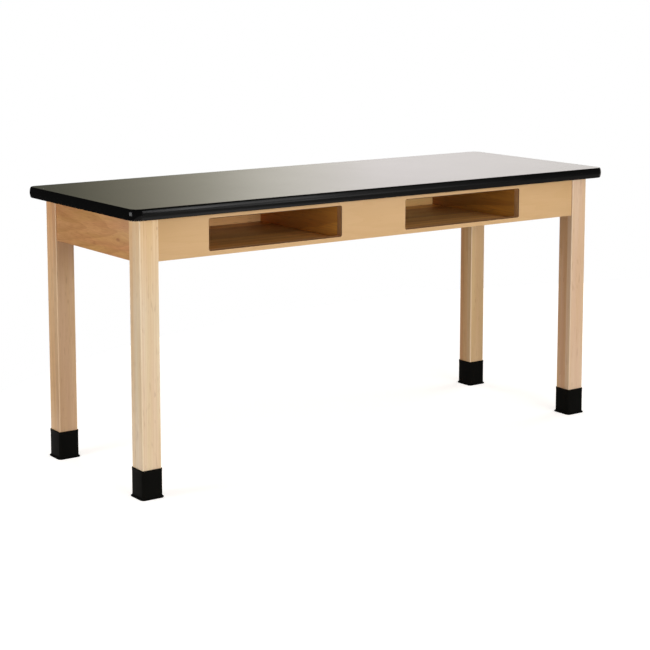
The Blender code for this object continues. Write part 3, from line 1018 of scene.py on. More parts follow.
def stand_for(piece: Piece, node: str, grain: Grain | None = None) -> None:
    """Let a finished piece ride on the table and stand for a node.

    Args:
        piece: The piece, in its place.
        node: The node that it replaces.
        grain: How its wood was cut, if it is wood.
    """
    if grain:
        grain.paint(piece.data)
    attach(piece, BODY)
    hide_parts(node)
    LOG.info("%s: %d faces", piece.name, len(piece.data.polygons))


def stand_copy(master: Piece, node: str, place: Matrix) -> None:
    """Let a copy of a finished steel piece stand for a node, on the same mesh.

    Args:
        master: The finished piece.
        node: The node that the copy replaces.
        place: Where the copy stands.
    """
    piece = bpy.data.objects.new(fine(node), master.data)
    bpy.context.scene.collection.objects.link(piece)
    piece.matrix_world = place
    stand_for(piece, node)


def fine(node: str) -> str:
    """The name of the piece that stands for a node."""
    return f"fine_{node}"


def screw_nodes() -> list[str]:
    """The names of all wood screws."""
    return sorted(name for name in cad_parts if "_screw_" in name)


def screw_spot(node: str) -> Point:
    """Where a wood screw stands in plan."""
    low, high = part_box(node)
    return ((low.x + high.x) / 2, (low.y + high.y) / 2)


@dataclass
class Worktop:
    """The top: a laminate sheet and a backing sheet on a board, with an edge band all round."""

    corner_radius: float = 28.0 * MM
    band_thickness: float = 5.0 * MM
    crown: float = 3.2 * MM
    edge_sharpness: int = 24
    barb_depth: float = 10.0 * MM
    barb_thickness: float = 2.0 * MM
    seam: float = 0.3 * MM
    arris: float = 0.25 * MM
    corner_steps: int = 24
    crown_steps: int = 14

    def outline(self, outward: float) -> list[Point]:
        """Give the top's plan outline.

        Args:
            outward: How far outside the board's own edge it runs.

        Returns:
            The outline's points.
        """
        _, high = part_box("top_edge_band")
        inset = self.band_thickness - outward
        return rounded_outline(
            high.x - inset, high.y - inset, self.corner_radius - inset, self.corner_steps
        )

    def build(self) -> None:
        """Make the laminate, the backing sheet and the edge band, and dress the core."""
        self.build_laminate()
        self.build_backing()
        self.build_band()
        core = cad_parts["top_core"]
        core.data.materials.clear()
        core.data.materials.append(PARTICLEBOARD.material())

    def build_laminate(self) -> None:
        """Make the laminate sheet, with its top arris eased by the file that trimmed it."""
        low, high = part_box(TOP_SHEET)
        rings = [
            (self.outline(-self.seam), low.z),
            (self.outline(-self.seam), high.z - self.arris),
            (self.outline(-self.seam - self.arris), high.z),
        ]
        sheet = make_object(fine(TOP_SHEET), skinned(rings), BLACK_LAMINATE)
        stand_for(sheet, TOP_SHEET)

    def build_backing(self) -> None:
        """Make the backing sheet, bored for the wood screws."""
        low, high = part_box("top_backing_sheet")
        rings = [(self.outline(-self.seam), low.z), (self.outline(-self.seam), high.z)]
        sheet = make_object(fine("top_backing_sheet"), skinned(rings), BROWN_BACKING)
        carved(sheet, screw_bores(low.z, high.z, screw_nodes()))
        stand_for(sheet, "top_backing_sheet")

    def build_band(self) -> None:
        """Make the T-shaped band: a crowned face outside and a barb that sits in the core's kerf."""
        low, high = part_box("top_edge_band")
        middle, half = (low.z + high.z) / 2, (high.z - low.z) / 2
        section = []
        for step in range(-self.crown_steps, self.crown_steps + 1):
            share = math.sin(math.pi / 2 * step / self.crown_steps)
            edge = math.sqrt(max(0.0, 1 - share**self.edge_sharpness))
            reach = (self.band_thickness - self.crown * share**2) * edge
            section.append((reach, middle + share * half))
        core_low, core_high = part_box("top_core")
        barb = (core_low.z + core_high.z) / 2
        lip = self.barb_thickness / 2
        section += [
            (0.0, barb + lip),
            (-self.barb_depth, barb + lip),
            (-self.barb_depth, barb - lip),
            (0.0, barb - lip),
        ]
        rings = [(self.outline(out), z) for out, z in section]
        band = make_object(fine("top_edge_band"), skinned(rings, closed=True), BLACK_VINYL)
        stand_for(band, "top_edge_band")


def screw_bores(low: float, high: float, nodes: Sequence[str]) -> list[Piece]:
    """Make the cutters of the wood screws' bores.

    Args:
        low: The lower face of what is bored.
        high: Its upper face.
        nodes: The screws.

    Returns:
        One cutter for each screw.
    """
    radius = 2.4 * MM
    past = 1.0 * MM
    cutters = []
    for node in nodes:
        bore = cylinder(radius, low - past, high + past)
        place = Matrix.Translation((*screw_spot(node), 0.0))
        cutters.append(make_object("bore", moved(bore, place), None))
    return cutters


@dataclass
class Leg:
    """One square leg, eased along its edges, with a flat behind for the corner brace."""

    corner: Corner
    grain: Grain
    ease: float = 2.0 * MM
    flat_cut: float = 12.0 * MM
    bore: float = 4.4 * MM
    bore_depth: float = 34.4 * MM
    steps: int = 8

    def build(self) -> None:
        """Make the leg with its flat and its bore, and give it its grain."""
        node = f"leg_{self.corner.label}"
        low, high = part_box(node)
        half = (high.x - low.x) / 2
        middle = Vector(((low.x + high.x) / 2, (low.y + high.y) / 2, 0.0))
        outline = rounded_outline(half, half, self.ease, self.steps)
        post = skinned([(outline, low.z), (outline, high.z)])
        leg = make_object(fine(node), post, LEG_MAPLE[self.corner])
        apron_low, apron_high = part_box("front_apron")
        flat = (2 * half - self.flat_cut) / math.sqrt(2)
        square = rounded_outline(half, half, self.ease, 1)
        notch = moved(
            skinned([(square, apron_low.z), (square, high.z + half)]),
            Matrix.Translation((flat + half, 0.0, 0.0)),
        )
        bore = moved(
            cylinder(self.bore, flat - self.bore_depth, flat + half),
            Matrix.Translation((0.0, 0.0, (apron_low.z + apron_high.z) / 2)) @ LIE_ALONG_X,
        )
        cutters = [make_object("notch", notch, None), make_object("bore", bore, None)]
        inward = math.atan2(-self.corner.value[1], -self.corner.value[0])
        for cutter in cutters:
            cutter.data.transform(Matrix.Rotation(inward, 4, "Z"))
        carved(leg, cutters)
        leg.data.transform(Matrix.Translation(middle))
        stand_for(leg, node, self.grain)


@dataclass
class Boot:
    """One moulded boot: a thin sleeve whose lip opens a little, on a flared foot."""

    corner: Corner
    wall: float = 2.4 * MM
    lip_flare: float = 0.7 * MM
    lip_height: float = 14.0 * MM
    foot_flare: float = 4.0 * MM
    plate: float = 3.5 * MM
    fillet: float = 5.0 * MM
    arris: float = 0.8 * MM
    wall_radius: float = 6.5 * MM
    foot_radius: float = 11.0 * MM
    inner_radius: float = 2.2 * MM
    sole: float = 4.0 * MM
    steps: int = 8

    def build(self) -> None:
        """Make the boot from the sole up its outer side and down its inner side."""
        node = f"boot_{self.corner.label}"
        low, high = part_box(node)
        foot = (high.x - low.x) / 2
        outer = foot - self.foot_flare
        middle = Vector(((low.x + high.x) / 2, (low.y + high.y) / 2, 0.0))
        profile = self.foot_profile(foot, outer) + self.lip_profile(outer, high.z)
        inner = outer - self.wall
        profile += [
            (inner + self.lip_flare, self.inner_radius, high.z),
            (inner, self.inner_radius, high.z - self.lip_height),
            (inner, self.inner_radius, self.sole),
        ]
        rings = [(rounded_outline(half, half, radius, self.steps), z) for half, radius, z in profile]
        boot = make_object(fine(node), moved(skinned(rings), Matrix.Translation(middle)), BLACK_RUBBER)
        stand_for(boot, node)

    def foot_profile(self, foot: float, outer: float) -> list[Point3]:
        """Give the flared foot: its plate with eased arrises, and the hollow fillet above it.

        Args:
            foot: Half the width of the plate.
            outer: Half the width of the sleeve.

        Returns:
            Half width, corner radius and height of each ring, upward.
        """
        profile = []
        for middle, first in ((self.arris, -90), (self.plate - self.arris, 0)):
            for step in range(self.steps // 2 + 1):
                angle = math.radians(first + 90 * step / (self.steps // 2))
                shrink = self.arris * (1 - math.cos(angle))
                height = middle + self.arris * math.sin(angle)
                profile.append((foot - shrink, self.foot_radius - shrink, height))
        reach = self.foot_flare - self.arris
        for step in range(1, self.steps + 1):
            angle = math.pi / 2 * step / self.steps
            out = reach * (1 - math.sin(angle))
            radius = self.wall_radius + (self.foot_radius - self.arris - self.wall_radius) * out / reach
            rise = self.fillet * (1 - math.cos(angle))
            profile.append((outer + out, radius, self.plate + rise))
        return profile

    def lip_profile(self, outer: float, top: float) -> list[Point3]:
        """Give the sleeve's outer side near its lip, which flares softly and ends round.

        Args:
            outer: Half the width of the sleeve.
            top: The height of the lip.

        Returns:
            Half width, corner radius and height of each ring, upward.
        """
        profile = []
        for step in range(self.steps + 1):
            share = step / self.steps
            out = self.lip_flare * share * share
            height = top - self.lip_height + share * (self.lip_height - self.wall / 2)
            profile.append((outer + out, self.wall_radius + out, height))
        for step in range(1, self.steps // 2 + 1):
            angle = math.pi / 2 * step / (self.steps // 2)
            out = self.lip_flare - self.wall / 2 * (1 - math.cos(angle))
            height = top - self.wall / 2 * (1 - math.sin(angle))
            profile.append((outer + out, self.wall_radius + out, height))
        return profile


@dataclass
class Apron:
    """One apron: a board with kerfs for the brace hooks behind."""

    node: str
    along_x: bool
    finish: Finish
    slot: Slot
    grain: Grain
    kerf_width: float = 3.2 * MM
    kerf_depth: float = 6.6 * MM
    brace_sheet: float = 2.0 * MM
    past: float = 4.0 * MM

    def build(self) -> None:
        """Make the apron's board, cut it, and give it its grain."""
        low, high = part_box(self.node)
        apron = make_object(fine(self.node), board(low, high), self.finish)
        carved(apron, self.cutters(low, high))
        stand_for(apron, self.node, self.grain)

    def cutters(self, low: Vector, high: Vector) -> list[Piece]:
        """Make the kerfs' cutters, each where a brace's hook enters the board.

        Args:
            low: The board's lowest corner.
            high: Its highest corner.

        Returns:
            The cutters.
        """
        run, across = (0, 1) if self.along_x else (1, 0)
        outside = 1 if low[across] > 0 else -1
        inner_face = low[across] if outside > 0 else high[across]
        made = []
        for sign in (-1, 1):
            signs = (sign, outside) if self.along_x else (outside, sign)
            brace_low, brace_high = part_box(f"corner_brace_{Corner(signs).label}")
            far = brace_low[run] if sign > 0 else brace_high[run]
            centre = far + sign * self.brace_sheet / 2
            start, end = Vector(low), Vector(high)
            start[run], end[run] = centre - self.kerf_width / 2, centre + self.kerf_width / 2
            ends = (inner_face + outside * self.kerf_depth, inner_face - outside * self.past)
            start[across], end[across] = min(ends), max(ends)
            start.z, end.z = low.z - self.past, high.z + self.past
            made.append(make_object("kerf", board(start, end, 0.0), None))
        return made


@dataclass
class LongApron(Apron):
    """The front or back apron, which also houses an end of the cross rail."""

    def cutters(self, low: Vector, high: Vector) -> list[Piece]:
        """Add the housing's cutter.

        Args:
            low: The board's lowest corner.
            high: Its highest corner.

        Returns:
            The cutters.
        """
        gap = 0.3 * MM
        rail_low, rail_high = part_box("centre_cross_rail")
        if low.y > 0:
            start_y, end_y = low.y - self.past, rail_high.y + gap
        else:
            start_y, end_y = rail_low.y - gap, high.y + self.past
        start = Vector((rail_low.x - gap, start_y, rail_low.z - gap))
        end = Vector((rail_high.x + gap, end_y, high.z + self.past))
        return [*super().cutters(low, high), make_object("housing", board(start, end, 0.0), None)]


@dataclass
class FrontApron(LongApron):
    """The front apron, with a cut-out before each compartment."""

    rise: float = 14.0 * MM
    opening_height: float = 83.0 * MM
    corner_radius: float = 4.0 * MM
    chamfer: float = 1.8 * MM
    steps: int = 6

    def cutters(self, low: Vector, high: Vector) -> list[Piece]:
        """Add the cut-outs' cutters, which also ease and darken the edge of each mouth.

        Args:
            low: The board's lowest corner.
            high: Its highest corner.

        Returns:
            The cutters.
        """
        made = super().cutters(low, high)
        for side in ("left", "right"):
            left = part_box(f"{side}_compartment_left_side")[1].x
            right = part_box(f"{side}_compartment_right_side")[0].x
            made.append(self.opening(left, right, low, high))
        return made

    def opening(self, left: float, right: float, low: Vector, high: Vector) -> Piece:
        """Make one cut-out's cutter.

        Args:
            left: The cut-out's left side.
            right: Its right side.
            low: The board's lowest corner.
            high: Its highest corner.

        Returns:
            The cutter, wider where it passes the front face.
        """
        half_x, half_z = (right - left) / 2, self.opening_height / 2
        flare = self.chamfer + self.past
        plain = rounded_outline(half_x, half_z, self.corner_radius, self.steps)
        wide = rounded_outline(half_x + flare, half_z + flare, self.corner_radius + flare, self.steps)
        thickness = high.y - low.y
        rings = [(plain, -thickness - self.past), (plain, -self.chamfer), (wide, self.past)]
        place = Matrix.Translation(((left + right) / 2, low.y, low.z + self.rise + half_z))
        shape = moved(skinned(rings), place @ Matrix.Rotation(math.pi / 2, 4, "X"))
        cutter = make_object("opening", shape, SAWN_JAMB)
        cutter.data.materials.append(DARK_ARRIS.material())
        for face in cutter.data.polygons:
            face.material_index = int(face.center.y < low.y + self.chamfer / 2)
        return cutter


@dataclass
class Compartment:
    """One book compartment: two sides and a back on a floor panel."""

    side: str
    start: float
    side_ease: float = 0.5 * MM
    panel_ease: float = 0.4 * MM

    def build(self) -> None:
        """Make the four boards, with sawn plies on their narrow edges."""
        for index, hand in enumerate(("left", "right")):
            grain = Grain(Along.Y, pith=(0.03, 0.3), start=self.start + index)
            self.build_side(f"{self.side}_compartment_{hand}_side", hand, grain)
        back = Grain(Along.X, pith=(-0.02, 0.25), start=self.start + 2)
        self.build_panel(f"{self.side}_compartment_back", BACK_PLY[self.side], back, through=1)
        floor = Grain(Along.X, pith=(0.4, 0.05), start=self.start + 3)
        self.build_panel(f"{self.side}_compartment_floor", FLOOR_PLY[self.side], floor, through=2)

    def build_side(self, node: str, hand: str, grain: Grain) -> None:
        """Make one side board, with the ledge that takes the floor panel.

        Args:
            node: The board's node.
            hand: Which side of the compartment it stands on.
            grain: How its face veneer runs.
        """
        low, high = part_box(node)
        floor_low, floor_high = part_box(f"{self.side}_compartment_floor")
        gap = 0.3 * MM
        past = 5.0 * MM
        piece = make_object(fine(node), board(low, high, self.side_ease), SIDE_PLY[self.side])
        start = Vector((floor_low.x - gap, low.y - past, low.z - past))
        end = Vector((floor_high.x + gap, high.y + past, floor_high.z + gap))
        if hand == "left":
            end.x = high.x + past
        else:
            start.x = low.x - past
        carved(piece, [make_object("ledge", board(start, end, 0.0), PLY_EDGE)])
        mark_edges(piece, 0)
        stand_for(piece, node, grain)

    def build_panel(self, node: str, finish: Finish, grain: Grain, through: int) -> None:
        """Make the back or the floor.

        Args:
            node: The panel's node.
            finish: The finish of its faces.
            grain: How its face veneer runs.
            through: The axis through its thickness.
        """
        low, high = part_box(node)
        piece = make_object(fine(node), board(low, high, self.panel_ease), finish)
        mark_edges(piece, through)
        stand_for(piece, node, grain)


def mark_edges(piece: Piece, through: int) -> None:
    """Give a plywood board's narrow edges their sawn finish.

    Args:
        piece: The board.
        through: The axis through its thickness.
    """
    mesh = piece.data
    if PLY_EDGE.material().name not in mesh.materials:
        mesh.materials.append(PLY_EDGE.material())
    edge = mesh.materials.find(PLY_EDGE.name)
    # A narrow edge faces more than 60 degrees away from the thickness
    turned = math.cos(math.radians(60))
    for face in mesh.polygons:
        if abs(face.normal[through]) < turned:
            face.material_index = edge


@dataclass
class CrossRail:
    """The rail between the two compartments."""

    node: str = "centre_cross_rail"
    ease: float = 1.0 * MM

    def build(self) -> None:
        """Make the rail's board."""
        low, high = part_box(self.node)
        rail = make_object(fine(self.node), board(low, high, self.ease), RAIL_MAPLE)
        stand_for(rail, self.node, Grain(Along.Y, pith=(0.02, 0.06), start=3.1))


@dataclass
class Cleat:
    """One wooden cleat under the worktop, bored for its screws."""

    node: str
    start: float
    ease: float = 1.0 * MM

    def build(self) -> None:
        """Make the cleat and bore it."""
        low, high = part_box(self.node)
        stem = self.node.removesuffix("_cleat")
        screws = [name for name in screw_nodes() if name.startswith(f"{stem}_screw")]
        cleat = make_object(fine(self.node), board(low, high, self.ease), RAIL_MAPLE)
        carved(cleat, screw_bores(low.z, high.z, screws))
        along = Along.X if high.x - low.x > high.y - low.y else Along.Y
        stand_for(cleat, self.node, Grain(along, pith=(0.03, 0.05), start=self.start))


@dataclass
class WoodScrew:
    """The pan-head wood screws, all on one mesh, with a cross recess and a thread."""

    head: float = 4.5 * MM
    head_height: float = 2.6 * MM
    shank: float = 2.0 * MM
    thread: float = 0.35 * MM
    pitch: float = 1.6 * MM
    point: float = 5.0 * MM
    recess: float = 2.4 * MM
    recess_width: float = 0.9 * MM
    recess_depth: float = 1.7 * MM
    crown_flat: float = 0.35
    crown_share: float = 0.6
    tip: float = 0.15
    crown_steps: int = 6
    layers_a_turn: int = 6
    sides: int = 24
    sharp_angle: float = 50.0

    def build(self) -> None:
        """Make one screw's mesh and stand a copy at each screw's place."""
        nodes = screw_nodes()
        low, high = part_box(nodes[0])
        master = self.shape(high.z - low.z)
        for node in nodes:
            start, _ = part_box(node)
            stand_copy(master, node, Matrix.Translation((*screw_spot(node), start.z)))
        bpy.data.objects.remove(master, do_unlink=True)

    def shape(self, length: float) -> Piece:
        """Make the screw with its head at the bottom and its point upward.

        Args:
            length: The whole length from the crown to the point.

        Returns:
            The finished screw at the origin.
        """
        rings = []
        for step in range(self.crown_steps + 1):
            angle = math.pi / 2 * step / self.crown_steps
            radius = self.head * (self.crown_flat + (1 - self.crown_flat) * math.sin(angle))
            rise = self.crown_share * self.head_height * (1 - math.cos(angle))
            rings.append(self.ring(radius, 0.0, rise))
        rings.append(self.ring(self.head, 0.0, self.head_height))
        layers = round((length - self.head_height) / (self.pitch / self.layers_a_turn))
        for layer in range(layers + 1):
            z = self.head_height + (length - self.head_height) * layer / layers
            left = length - z
            core = self.shank * min(1.0, self.tip + (1 - self.tip) * left / self.point)
            rings.append(self.ring(core - self.thread, self.thread * min(1.0, left / self.point), z))
        screw = make_object("wood_screw", skinned(rings), ZINC_STEEL, self.sharp_angle)
        cutters = []
        for turn in (0.0, math.pi / 2):
            reach = Vector((self.recess, self.recess_width / 2, self.recess_depth))
            slot = moved(board(-reach, reach, 0.0), Matrix.Rotation(turn, 4, "Z"))
            cutters.append(make_object("recess", slot, None))
        return carved(screw, cutters)

    def ring(self, radius: float, thread: float, z: float) -> Ring:
        """Give one ring of the screw.

        Args:
            radius: Its root radius.
            thread: How far the thread stands out of it.
            z: Its height.

        Returns:
            The ring.
        """
        outline = polar_outline(
            self.sides, lambda angle: radius + thread * ridge(angle, z, self.pitch)
        )
        return (outline, z)


def ridge(angle: float, z: float, pitch: float) -> float:
    """The height of a thread, from 0 in its root to 1 on its crest, at an angle and a height."""
    turn = (z / pitch - angle / (2 * math.pi)) % 1.0
    return 1.0 - abs(2.0 * turn - 1.0)


@dataclass
class CornerHardware:
    """A pressed-steel brace, a hanger bolt and a flange nut in each corner."""

    sheet: float = 2.0 * MM
    height: float = 70.0 * MM
    reach: float = 90.0 * MM
    flange: float = 18.0 * MM
    hook: float = 6.0 * MM
    seat: float = 0.3 * MM
    bend: float = 3.5 * MM
    bolt: float = 4.0 * MM
    bolt_pitch: float = 1.25 * MM
    thread: float = 0.55 * MM
    point: float = 8.0 * MM
    bore: float = 4.4 * MM
    across_flats: float = 13.0 * MM
    nut_flange: float = 8.8 * MM
    flange_thickness: float = 1.5 * MM
    nut_height: float = 6.5 * MM
    leg_cut: float = 12.0 * MM
    bolt_in_leg: float = 34.0 * MM
    past_nut: float = 5.0 * MM
    ease: float = 0.25 * MM
    past: float = 5.0 * MM
    tip: float = 0.5
    thread_end: float = 0.3
    flange_rim: float = 0.6
    chamfer_reach: float = 0.95
    chamfer_angle: float = 60.0
    chamfer_steps: int = 4
    bend_steps: int = 5
    layers_a_turn: int = 6
    bolt_sides: int = 20
    sides: int = 36
    sharp_angle: float = 60.0

    def build(self) -> None:
        """Make one of each and stand copies in the four corners, on the corners' diagonals."""
        web = self.web_distance()
        masters = {
            "corner_brace": self.brace(web),
            "hanger_bolt": self.hanger_bolt(web),
            "flange_nut": self.nut(web),
        }
        for corner in Corner:
            for kind, master in masters.items():
                stand_copy(master, f"{kind}_{corner.label}", self.place(corner))
        for master in masters.values():
            bpy.data.objects.remove(master, do_unlink=True)

    def place(self, corner: Corner) -> Matrix:
        """Where the inner faces of a corner's aprons meet, with local +X toward the table's middle.

        Args:
            corner: The corner.

        Returns:
            The matrix from local to the table's frame.
        """
        sign_x, sign_y = corner.value
        front_low, front_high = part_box("front_apron")
        _, left_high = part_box("left_end_apron")
        spot = (-sign_x * left_high.x, -sign_y * front_high.y, (front_low.z + front_high.z) / 2)
        return Matrix.Translation(spot) @ Matrix.Rotation(math.atan2(-sign_y, -sign_x), 4, "Z")

    def web_distance(self) -> float:
        """How far the middle of the brace's web stands from the aprons' inner corner."""
        along = Vector((1.0, 1.0)).normalized()
        inward = Vector((along.y, -along.x))
        return (along * self.reach + inward * (self.seat + self.sheet / 2)).x

    def brace(self, web: float) -> Piece:
        """Make the brace: hook, flange, web, flange and hook, bent from one strip.

        Args:
            web: How far its web stands from the corner.

        Returns:
            The brace at the origin.
        """
        along = Vector((1.0, 1.0)).normalized()
        inward = Vector((along.y, -along.x))
        middle = inward * (self.seat + self.sheet / 2)
        far = self.reach + self.flange
        half = [along * far - inward * self.hook, along * far + middle, along * self.reach + middle]
        path = half + [Vector((point.x, -point.y)) for point in reversed(half)]
        radii = (self.sheet, self.bend, self.bend, self.sheet)
        line = rounded_path(path, radii, self.bend_steps)
        full, eased = (strip_outline(line, self.sheet - 2 * cut) for cut in (0.0, self.ease))
        half_height = self.height / 2
        rings = [
            (eased, -half_height),
            (full, -half_height + self.ease),
            (full, half_height - self.ease),
            (eased, half_height),
        ]
        brace = make_object("brace", skinned(rings), ZINC_STEEL)
        bore = cylinder(self.bore, web - self.past, web + self.past, self.sides)
        return carved(brace, [make_object("bore", moved(bore, LIE_ALONG_X), None)])

    def hanger_bolt(self, web: float) -> Piece:
        """Make the hanger bolt: a wood thread and point in the leg, a finer thread outside.

        Args:
            web: How far the brace's web stands from the corner.

        Returns:
            The bolt at the origin.
        """
        leg_low, leg_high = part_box("leg_front_left")
        apron_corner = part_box("left_end_apron")[1].x
        side = leg_high.x - leg_low.x
        leg_middle = (apron_corner * -1 + (leg_low.x + leg_high.x) / 2) * math.sqrt(2)
        flat = leg_middle + (side - self.leg_cut) / math.sqrt(2)
        low = flat - self.bolt_in_leg
        nut = self.seat + self.flange_thickness + self.nut_height
        high = web + self.sheet / 2 + nut + self.past_nut
        layers = round((high - low) / (self.bolt_pitch / self.layers_a_turn))
        rings = []
        for layer in range(layers + 1):
            z = low + (high - low) * layer / layers
            taper = min(1.0, self.tip + (1 - self.tip) * (z - low) / self.point)
            root = self.bolt * taper - self.thread
            cut = self.thread * min(1.0, (high - z) / self.bolt_pitch + self.thread_end)
            outline = polar_outline(
                self.bolt_sides, lambda angle: root + cut * ridge(angle, z, self.bolt_pitch)
            )
            rings.append((outline, z))
        bolt = moved(skinned(rings), LIE_ALONG_X)
        return make_object("bolt", bolt, ZINC_STEEL, self.sharp_angle)

    def nut(self, web: float) -> Piece:
        """Make the flange nut, with a chamfered hexagon.

        Args:
            web: How far the brace's web stands from the corner.

        Returns:
            The nut at the origin.
        """
        start = web + self.sheet / 2 + self.seat
        hex_start = start + self.flange_thickness
        end = hex_start + self.nut_height
        flat = self.across_flats / 2

        def hexagon(limit: float) -> Callable[[float], float]:
            """Limit the hexagon's radius by a cone."""
            sector = math.pi / 3
            return lambda angle: min(limit, flat / math.cos((angle + sector / 2) % sector - sector / 2))

        corner = flat / math.cos(math.pi / 6)
        round_flange = polar_outline(self.sides, lambda _: self.nut_flange)
        hole = polar_outline(self.sides, lambda _: self.bore)
        rings = [
            (round_flange, start),
            (round_flange, start + self.flange_rim * self.flange_thickness),
            (polar_outline(self.sides, hexagon(corner)), hex_start),
        ]
        depth = corner - self.chamfer_reach * flat
        chamfer = depth / math.tan(math.radians(self.chamfer_angle))
        for step in range(self.chamfer_steps + 1):
            share = step / self.chamfer_steps
            outline = polar_outline(self.sides, hexagon(corner - share * depth))
            rings.append((outline, end - chamfer * (1 - share)))
        rings += [(hole, end), (hole, start)]
        return make_object("nut", moved(skinned(rings, closed=True), LIE_ALONG_X), ZINC_STEEL)


def rounded_path(path: Sequence[Vector], radii: Sequence[float], steps: int) -> list[Vector]:
    """Round the bends of a path in plan.

    Args:
        path: The path's corner points.
        radii: The radius of each bend, from the second point to the last but one.
        steps: The number of stretches in each bend.

    Returns:
        The path's points, with an arc in place of each bend.
    """
    made = [path[0]]
    for before, corner, after, radius in zip(path, path[1:], path[2:], radii):
        back, ahead = (before - corner).normalized(), (after - corner).normalized()
        half = back.angle(ahead) / 2
        centre = corner + (back + ahead).normalized() * (radius / math.sin(half))
        start, end = (corner + way * (radius / math.tan(half)) - centre for way in (back, ahead))
        for step in range(steps + 1):
            made.append(centre + start.slerp(end, step / steps) * radius)
    made.append(path[-1])
    return made


def strip_outline(path: Sequence[Vector], thickness: float) -> list[Point]:
    """Outline a bent strip in plan, from its middle line.

    Args:
        path: The middle line's points.
        thickness: The strip's thickness.

    Returns:
        The outline's points.
    """
    sides: tuple[list[Point], list[Point]] = ([], [])
    for index, point in enumerate(path):
        before = point - path[index - 1] if index else path[1] - path[0]
        after = path[index + 1] - point if index + 1 < len(path) else before
        first = Vector((-before.y, before.x)).normalized()
        second = Vector((-after.y, after.x)).normalized()
        mitre = (first + second).normalized()
        reach = thickness / 2 / mitre.dot(first)
        sides[0].append(tuple(point + mitre * reach))
        sides[1].append(tuple(point - mitre * reach))
    return sides[0] + list(reversed(sides[1]))


@dataclass(frozen=True)
class SoftBox:
    """One soft lamp: a panel that faces a point of the table.

    Attributes:
        name: Its name.
        azimuth: Where it stands round the table, in degrees: 0 is before the front, 90 at the right.
        elevation: How high it stands above the horizon, in degrees.
        distance: How far it stands from its target, in metres.
        width: How wide the panel is, in metres.
        height: How tall the panel is, in metres.
        brightness: What it adds to a white card that faces it.
        target: The point that it faces.
        shows: Whether shiny surfaces show it.
        flagged: The piece that a flag shades from it, or none.
    """

    name: str
    azimuth: float
    elevation: float
    distance: float
    width: float
    height: float
    brightness: float
    target: Point3 = (0.0, 0.0, 0.5)
    shows: bool = True
    flagged: str = ""

    def build(self) -> None:
        """Hang the lamp and set its power from the brightness that it gives a white card."""
        lamp = bpy.data.lights.new(self.name, "AREA")
        lamp.shape = "RECTANGLE"
        lamp.size = self.width
        lamp.size_y = self.height
        lamp.energy = self.brightness * (math.pi * self.distance) ** 2
        made = bpy.data.objects.new(self.name, lamp)
        bpy.context.scene.collection.objects.link(made)
        azimuth, elevation = math.radians(self.azimuth), math.radians(self.elevation)
        away = Vector(
            (
                math.sin(azimuth) * math.cos(elevation),
                -math.cos(azimuth) * math.cos(elevation),
                math.sin(elevation),
            )
        )
        made.location = Vector(self.target) + away * self.distance
        made.rotation_euler = away.to_track_quat("Z", "Y").to_euler()
        made.visible_camera = False
        made.visible_glossy = self.shows
        if self.flagged:
            shaded = bpy.data.collections.new(f"{self.name} flag")
            shaded.objects.link(bpy.data.objects[self.flagged])
            made.light_linking.receiver_collection = shaded
            shaded.collection_objects[0].light_linking.link_state = "EXCLUDE"


